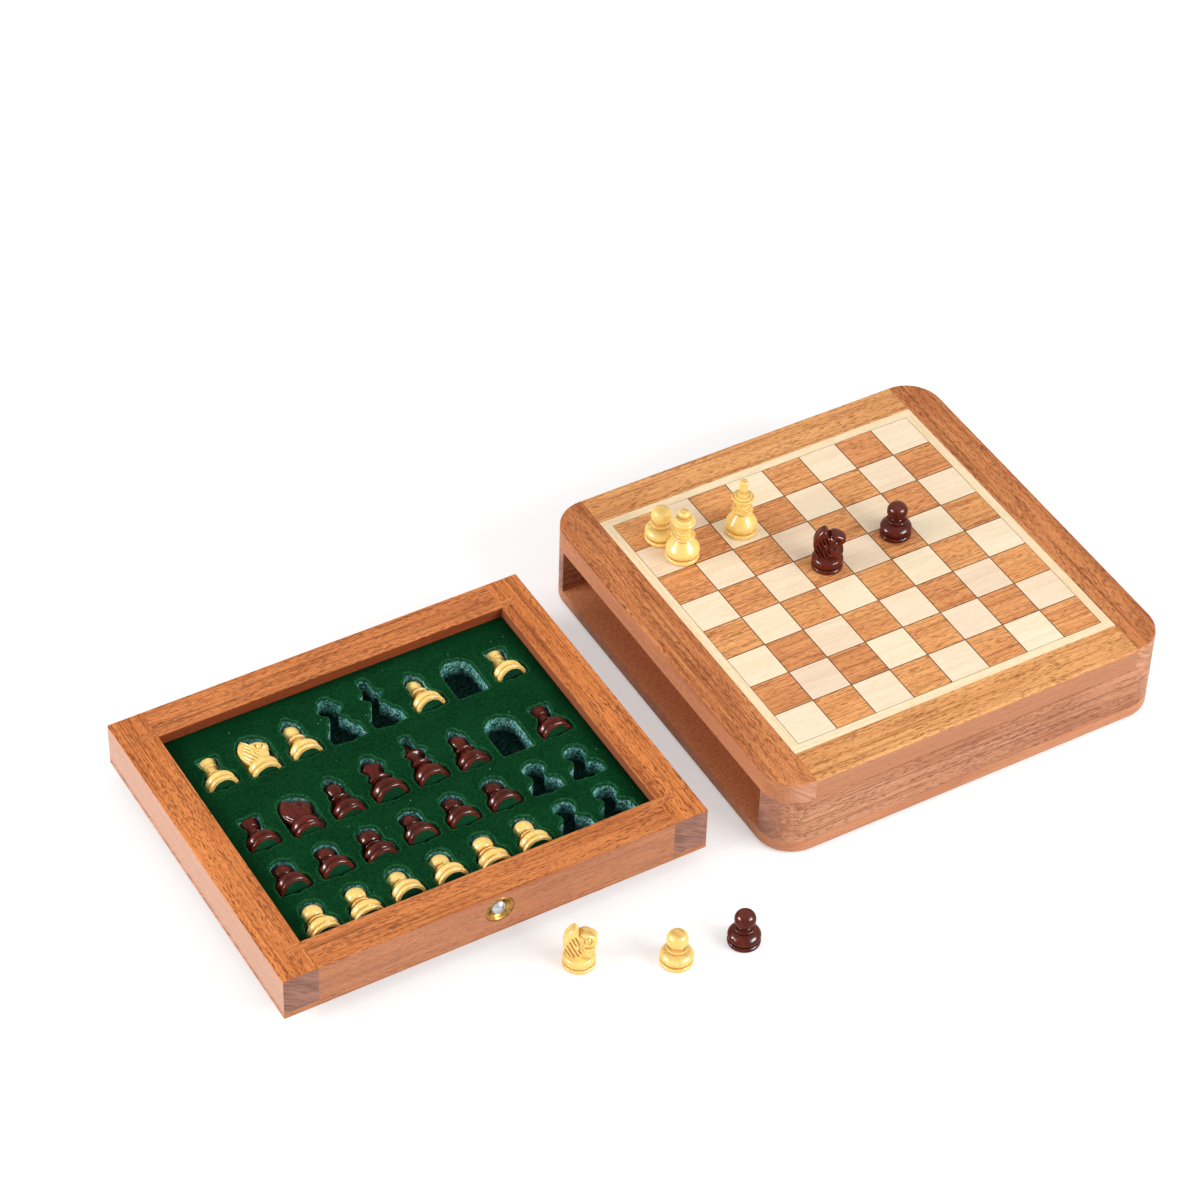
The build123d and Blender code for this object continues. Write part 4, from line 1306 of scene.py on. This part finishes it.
def pocket_outline(kind, sprung=False):
    """Across and up from the foot's centre: the half width at a height is the widest radius of the
    level or the tipped man within a window, plus the clearance. Where the man is away, the foam has
    sprung back round its neck by a bell curve of the height. The closed outline is then averaged
    with its neighbours twice, which rounds its corners."""
    if kind == "knight":
        outline = np.array(knight_arch)
    else:
        radius, height = profiles[kind].T
        slack = radius.max() * np.sin(np.radians(tilts[kind]))
        heights = np.linspace(-CLEARANCE, height[-1] + slack + CLEARANCE, OUTLINE_LEVELS)
        gap = height[None, :] - heights[:, None]
        near = (gap > -slack - WINDOW) & (gap < WINDOW)
        half = np.max(np.where(near, radius[None, :], LEAST_HALF_WIDTH), axis=1) + CLEARANCE
        if sprung:
            half = half - SPRING_BACK * bell(heights - neck_heights[kind], SPRING_WIDTH)
        right = np.stack([half, heights], 1)
        left = np.stack([-half[::-1], heights[::-1]], 1)
        outline = np.vstack([right, left])
    outline = evenly_spaced(np.vstack([outline, outline[:1]]), POINTS_ROUND)
    for _ in range(2):
        outline = (np.roll(outline, 1, 0) + 2 * outline + np.roll(outline, -1, 0)) / 4
    area = np.sum(outline[:, 0] * np.roll(outline[:, 1], -1) - np.roll(outline[:, 0], -1) * outline[:, 1])
    return outline if area > 0 else outline[::-1]


def outward(outline):
    """Unit directions out of a closed outline that runs counter-clockwise, evened out between
    neighbours so that the lip doesn't fold at a corner."""
    along = np.roll(outline, -1, 0) - np.roll(outline, 1, 0)
    out = np.stack([along[:, 1], -along[:, 0]], 1)
    out /= np.linalg.norm(out, axis=1)[:, None]
    for _ in range(4):
        out = np.roll(out, 1, 0) + 2 * out + np.roll(out, -1, 0)
        out /= np.linalg.norm(out, axis=1)[:, None]
    return out


# Each ring of a pocket: how far out of the knife's line, how far below the velvet, how much painted sheen on
# the lip
LIP = [
    (1.05, 0.0, 0.25), (0.75, -0.06, 0.8), (0.45, -0.02, 1.0), (0.2, 0.15, 1.0), (0.05, 0.5, 0.7),
    (0.0, 1.0, 0.3), (0.0, 2.5, 0.0), (0.0, 5.0, 0.0), (0.0, 7.5, 0.0), (-0.1, 8.8, 0.0),
    (-0.45, 9.4, 0.0), (-0.9, 9.5, 0.0),
]
back_row = ("rook", "knight", "bishop", "queen", "king", "bishop", "knight", "rook")
pocket_rows = [(rows["light_pawn"], ("pawn",) * 8), (rows["dark_pawn"], ("pawn",) * 8)]
pocket_rows += [(rows["dark_back"], back_row), (rows["light_back"], back_row)]
low, high = spot("velvet_insert")
border = np.array([
    (low[0] + RIM_INSET, low[1] + RIM_INSET), (high[0] - RIM_INSET, low[1] + RIM_INSET),
    (high[0] - RIM_INSET, high[1] - RIM_INSET), (low[0] + RIM_INSET, high[1] - RIM_INSET),
])
skirt = [(RIM_INSET, 0.0), (0.15, 0.15), (0.0, 0.5), (0.0, high[2] - low[2])]
signs = np.array([(-1, -1), (1, -1), (1, 1), (-1, 1)])
points, lip_sheen_shares = [], []
for inset, depth in skirt:
    ring = border + signs * (RIM_INSET - inset)
    points.append(np.column_stack([ring, np.full(4, high[2] - depth)]))
    lip_sheen_shares.append(np.zeros(4))
count = 4 * len(skirt)
faces = [face[::-1] for face in ring_faces(len(skirt), 4)]
faces.append(list(range(count - 4, count))[::-1])
loops = [[0, 1, 2, 3]]
for row_line, kinds in pocket_rows:
    for column, kind in enumerate(kinds):
        away = (kind == "pawn" and column > 5) or (row_line == rows["light_back"] and column in (3, 4))
        outline = pocket_outline(kind, away) + np.array([column_x(column), row_line + CLEARANCE])
        out = outward(outline)
        for offset, depth, lip in LIP:
            ring = outline + offset * out
            points.append(np.column_stack([ring, np.full(len(ring), high[2] - depth)]))
            lip_sheen_shares.append(np.full(len(ring), lip))
        faces += [face[::-1] for face in ring_faces(len(LIP), POINTS_ROUND, count)]
        last = count + (len(LIP) - 1) * POINTS_ROUND
        faces.append(list(range(last, last + POINTS_ROUND)))
        loops.append(list(range(count, count + POINTS_ROUND)))
        count += len(LIP) * POINTS_ROUND
points, lip_sheen_shares = np.vstack(points), np.concatenate(lip_sheen_shares)
faces += cap(points, loops, [0, 1])

# %% [markdown]
# Velvet is darkest where it is seen from above and lighter where its pile bends and catches the
# light, so a pale fringe is painted along each pocket's lip as painted sheen. Inside the pockets the
# pile is crushed, so it shows teal, with bright flecks that are painted glints, and painted shade
# darkens it towards the floor. The colour follows two things that the mesh knows: the lip
# attribute, which holds the share of painted sheen, and the depth below the velvet's level.

# %% Velvet
velvet, tree, shader = new_material("velvet")
place = object_place(tree)
fuzz = noise(tree, place, (1500, 1500, 1500), 4.0, 0.75)
blend = weighed(tree, (fuzz, 0.55), (noise(tree, place, (45, 70, 45), 3.0), 0.45))
pile = mixed(tree, spread(tree, blend, 0.34, 0.7), paint(3, 40, 18), paint(9, 57, 27))
# Painted sheen: a pale green fringe painted in patches along each pocket's lip, as much as the lip attribute
# says.
patchy_lip_sheen = spread(tree, fuzz, 0.4, 0.62, 0.15, 1.0)
painted_lip_sheen = calc(tree, "MULTIPLY", attribute(tree, "lip"), patchy_lip_sheen, clamp=True)
pile = mixed(tree, calc(tree, "MULTIPLY", painted_lip_sheen, 0.34), pile, paint(70, 150, 96))
lint = cell_distance(tree, scaled(tree, place, (170, 170, 170)))
pile = mixed(tree, spread(tree, lint, 0.02, 0.05, 0.7, 0.0), pile, paint(150, 196, 160))
level = split(tree, place)["Z"]
deep = spread(tree, level, (VELVET_TOP - 2.2) * MM, (VELVET_TOP - 0.7) * MM, 1.0, 0.0)
crushed = noise(tree, place, (700, 700, 700), 4.0, 0.8, 0.6)
inner = mixed(tree, spread(tree, crushed, 0.38, 0.66), paint(16, 74, 66), paint(126, 208, 200))
# Painted glints: bright flecks painted on the crushed pile inside the pockets, standing in for its specular
# glitter.
painted_glints = spread(tree, cell_distance(tree, scaled(tree, place, (850, 850, 850))), 0.12, 0.42, 1.0, 0.0)
painted_glints = calc(tree, "MULTIPLY", painted_glints, spread(tree, crushed, 0.43, 0.54))
inner = mixed(tree, painted_glints, inner, paint(244, 255, 252))
# Painted shade: the pocket walls are painted darker towards the floor, nearly black at the floor itself.
painted_floor_shade = spread(tree, level, (POCKET_FLOOR + 0.2) * MM, (POCKET_FLOOR + 4.5) * MM, 0.94, 0.0)
inner = mixed(tree, painted_floor_shade, inner, paint(4, 26, 20))
feed(tree, shader, {
    "Base Color": mixed(tree, deep, pile, inner),
    "Normal": bumped(tree, fuzz, 0.6, 0.3),
    "Roughness": 0.95,
    "Sheen Weight": 0.03,
    "Sheen Roughness": 0.45,
    "Sheen Tint": paint(120, 200, 150),
    "Specular IOR Level": 0.04,
    "IOR": 1.06,
})
insert = make_piece("velvet_lining", points, faces, velvet, 60)
# The lip attribute holds how much painted sheen each point of a pocket's lip gets.
lip_sheen_layer = insert.data.attributes.new("lip", "FLOAT", "POINT")
lip_sheen_layer.data.foreach_set("value", lip_sheen_shares.astype(np.float32))
dress(insert, "drawer", "velvet", "velvet_insert")
print("velvet faces:", len(insert.data.polygons))

# %% [markdown]
# The case stands on a sheet of green felt, a little smaller than its underside. It is a plank too,
# with a soft rounded edge, and it is the same felt as under the men.

# %% Felt under the case
SOLE_CORNER, SOLE_STEPS = 12.5, 9
low, high = spot("base_felt")
felt_outline = box_outline(-high[0], high[0], -high[0], high[0], SOLE_CORNER, SOLE_STEPS)
sole = plank("case_felt", felt_outline, low[2], high[2], felt, "x", (0.3, 0), (0.05, 0))
dress(sole, "case", "felt", "base_felt")

# %% [markdown]
# The photograph was taken on a white table in a white room. The world gives the even light of that
# room, and shows as plain white to the camera and in gloss. The floor is white too, and for the
# camera it glows a little, so it reads as paper white and still takes the soft shadow of the set.

# %% Table and room
FLOOR_SIZE = 3000.0
FLOOR_GLOW, ROOM_LIGHT = 0.38, 0.53
floor_points = FLOOR_SIZE * np.array([(-1, -1, 0), (1, -1, 0), (1, 1, 0), (-1, 1, 0)])


def directly_seen(tree):
    """One for rays from the camera, from gloss or through glass, and zero for light that spreads."""
    rays = add_node(tree, "ShaderNodeLightPath").outputs
    shown = calc(tree, "MAXIMUM", rays["Is Camera Ray"], rays["Is Glossy Ray"])
    return calc(tree, "MAXIMUM", shown, rays["Is Transmission Ray"])


white, tree, shader = new_material("white_table")
feed(tree, shader, {
    "Base Color": (0.78, 0.78, 0.78, 1.0),
    "Roughness": 0.9,
    "Specular IOR Level": 0.0,
    "Emission Color": (1.0, 1.0, 1.0, 1.0),
    "Emission Strength": calc(tree, "MULTIPLY", directly_seen(tree), FLOOR_GLOW),
})
floor = make_piece("table_top", floor_points, [[0, 1, 2, 3]], white)

world = bpy.data.worlds.new("room")
scene.world = world
world.use_nodes = True
tree = world.node_tree
strength = {0: directly_seen(tree), 2: ROOM_LIGHT, 3: 1.0}
feed(tree, tree.nodes["Background"], {
    "Color": (1.0, 1.0, 1.0, 1.0),
    "Strength": add_node(tree, "ShaderNodeMix", strength, data_type="FLOAT").outputs[0],
})

# %% [markdown]
# Two large softboxes light the set, one low on the left and one in front on the right, and every
# man shows the pair as two highlights. A lamp bright enough for those highlights would burn out the
# board seen from behind, so each softbox is two lamps: one that lights everything, and a brighter
# one that shows only in the gloss of the polished pieces, which are the men and the chromed ball.

# %% Lamps
SET_MIDDLE = Vector((-0.1, -0.02, 0.02))
polished = bpy.data.collections.new("polished_pieces")
for piece in scene.objects:
    if piece.name.endswith("_man") or piece.name == "chrome_ball":
        polished.objects.link(piece)


def softbox(name, direction, distance, width, height, power, only_shine=False):
    """A rectangular lamp at a distance along a direction, turned to the middle of the set. One that
    is only for shine is seen in the gloss of polished pieces and gives no other light."""
    lamp = bpy.data.lights.new(name, "AREA")
    lamp.shape = "RECTANGLE"
    lamp.size, lamp.size_y, lamp.energy = width, height, power
    holder = bpy.data.objects.new(name, lamp)
    holder.location = SET_MIDDLE + Vector(direction).normalized() * distance
    holder.rotation_euler = (SET_MIDDLE - holder.location).to_track_quat("-Z", "Y").to_euler()
    if only_shine:
        holder.visible_diffuse = False
        holder.light_linking.receiver_collection = polished
    scene.collection.objects.link(holder)


LEFT, RIGHT = (-0.88, 0.2, 0.38), (0.49, -0.73, 0.48)
softbox("left_softbox", LEFT, 1.5, 1.1, 0.55, 15.5)
softbox("right_softbox", RIGHT, 1.5, 1.1, 0.55, 16.5)
softbox("left_shine", LEFT, 1.45, 0.7, 0.4, 60.0, only_shine=True)
softbox("right_shine", RIGHT, 1.45, 0.7, 0.4, 60.0, only_shine=True)

# %% [markdown]
# The camera's place was worked out from the photograph: the corners of the board and of the case
# are known squares, and one long lens puts all of them on their pixels. It looks down at 43 degrees
# and is turned by just under two degrees.

# %% Camera
CAMERA_PLACE = (-0.6925, -0.9478, 1.1172)
LENS, SENSOR = 121.4, 36.0
ROLL = np.radians(1.87)
right = np.array([0.8547, -0.5193, 0.0])
up = np.array([0.3553, 0.5848, 0.7291])
back = np.array([-0.3786, -0.6231, 0.6844])
camera_x = right * np.cos(ROLL) + up * np.sin(ROLL)
camera_y = -right * np.sin(ROLL) + up * np.cos(ROLL)
lens = bpy.data.cameras.new("camera")
lens.lens, lens.sensor_width, lens.clip_end = LENS, SENSOR, 50.0
camera = bpy.data.objects.new("camera", lens)
pose = Matrix(np.stack([camera_x, camera_y, back], 1).tolist()).to_4x4()
pose.translation = Vector(CAMERA_PLACE)
camera.matrix_world = pose
scene.collection.objects.link(camera)
scene.camera = camera
scene.view_settings.view_transform = "Standard"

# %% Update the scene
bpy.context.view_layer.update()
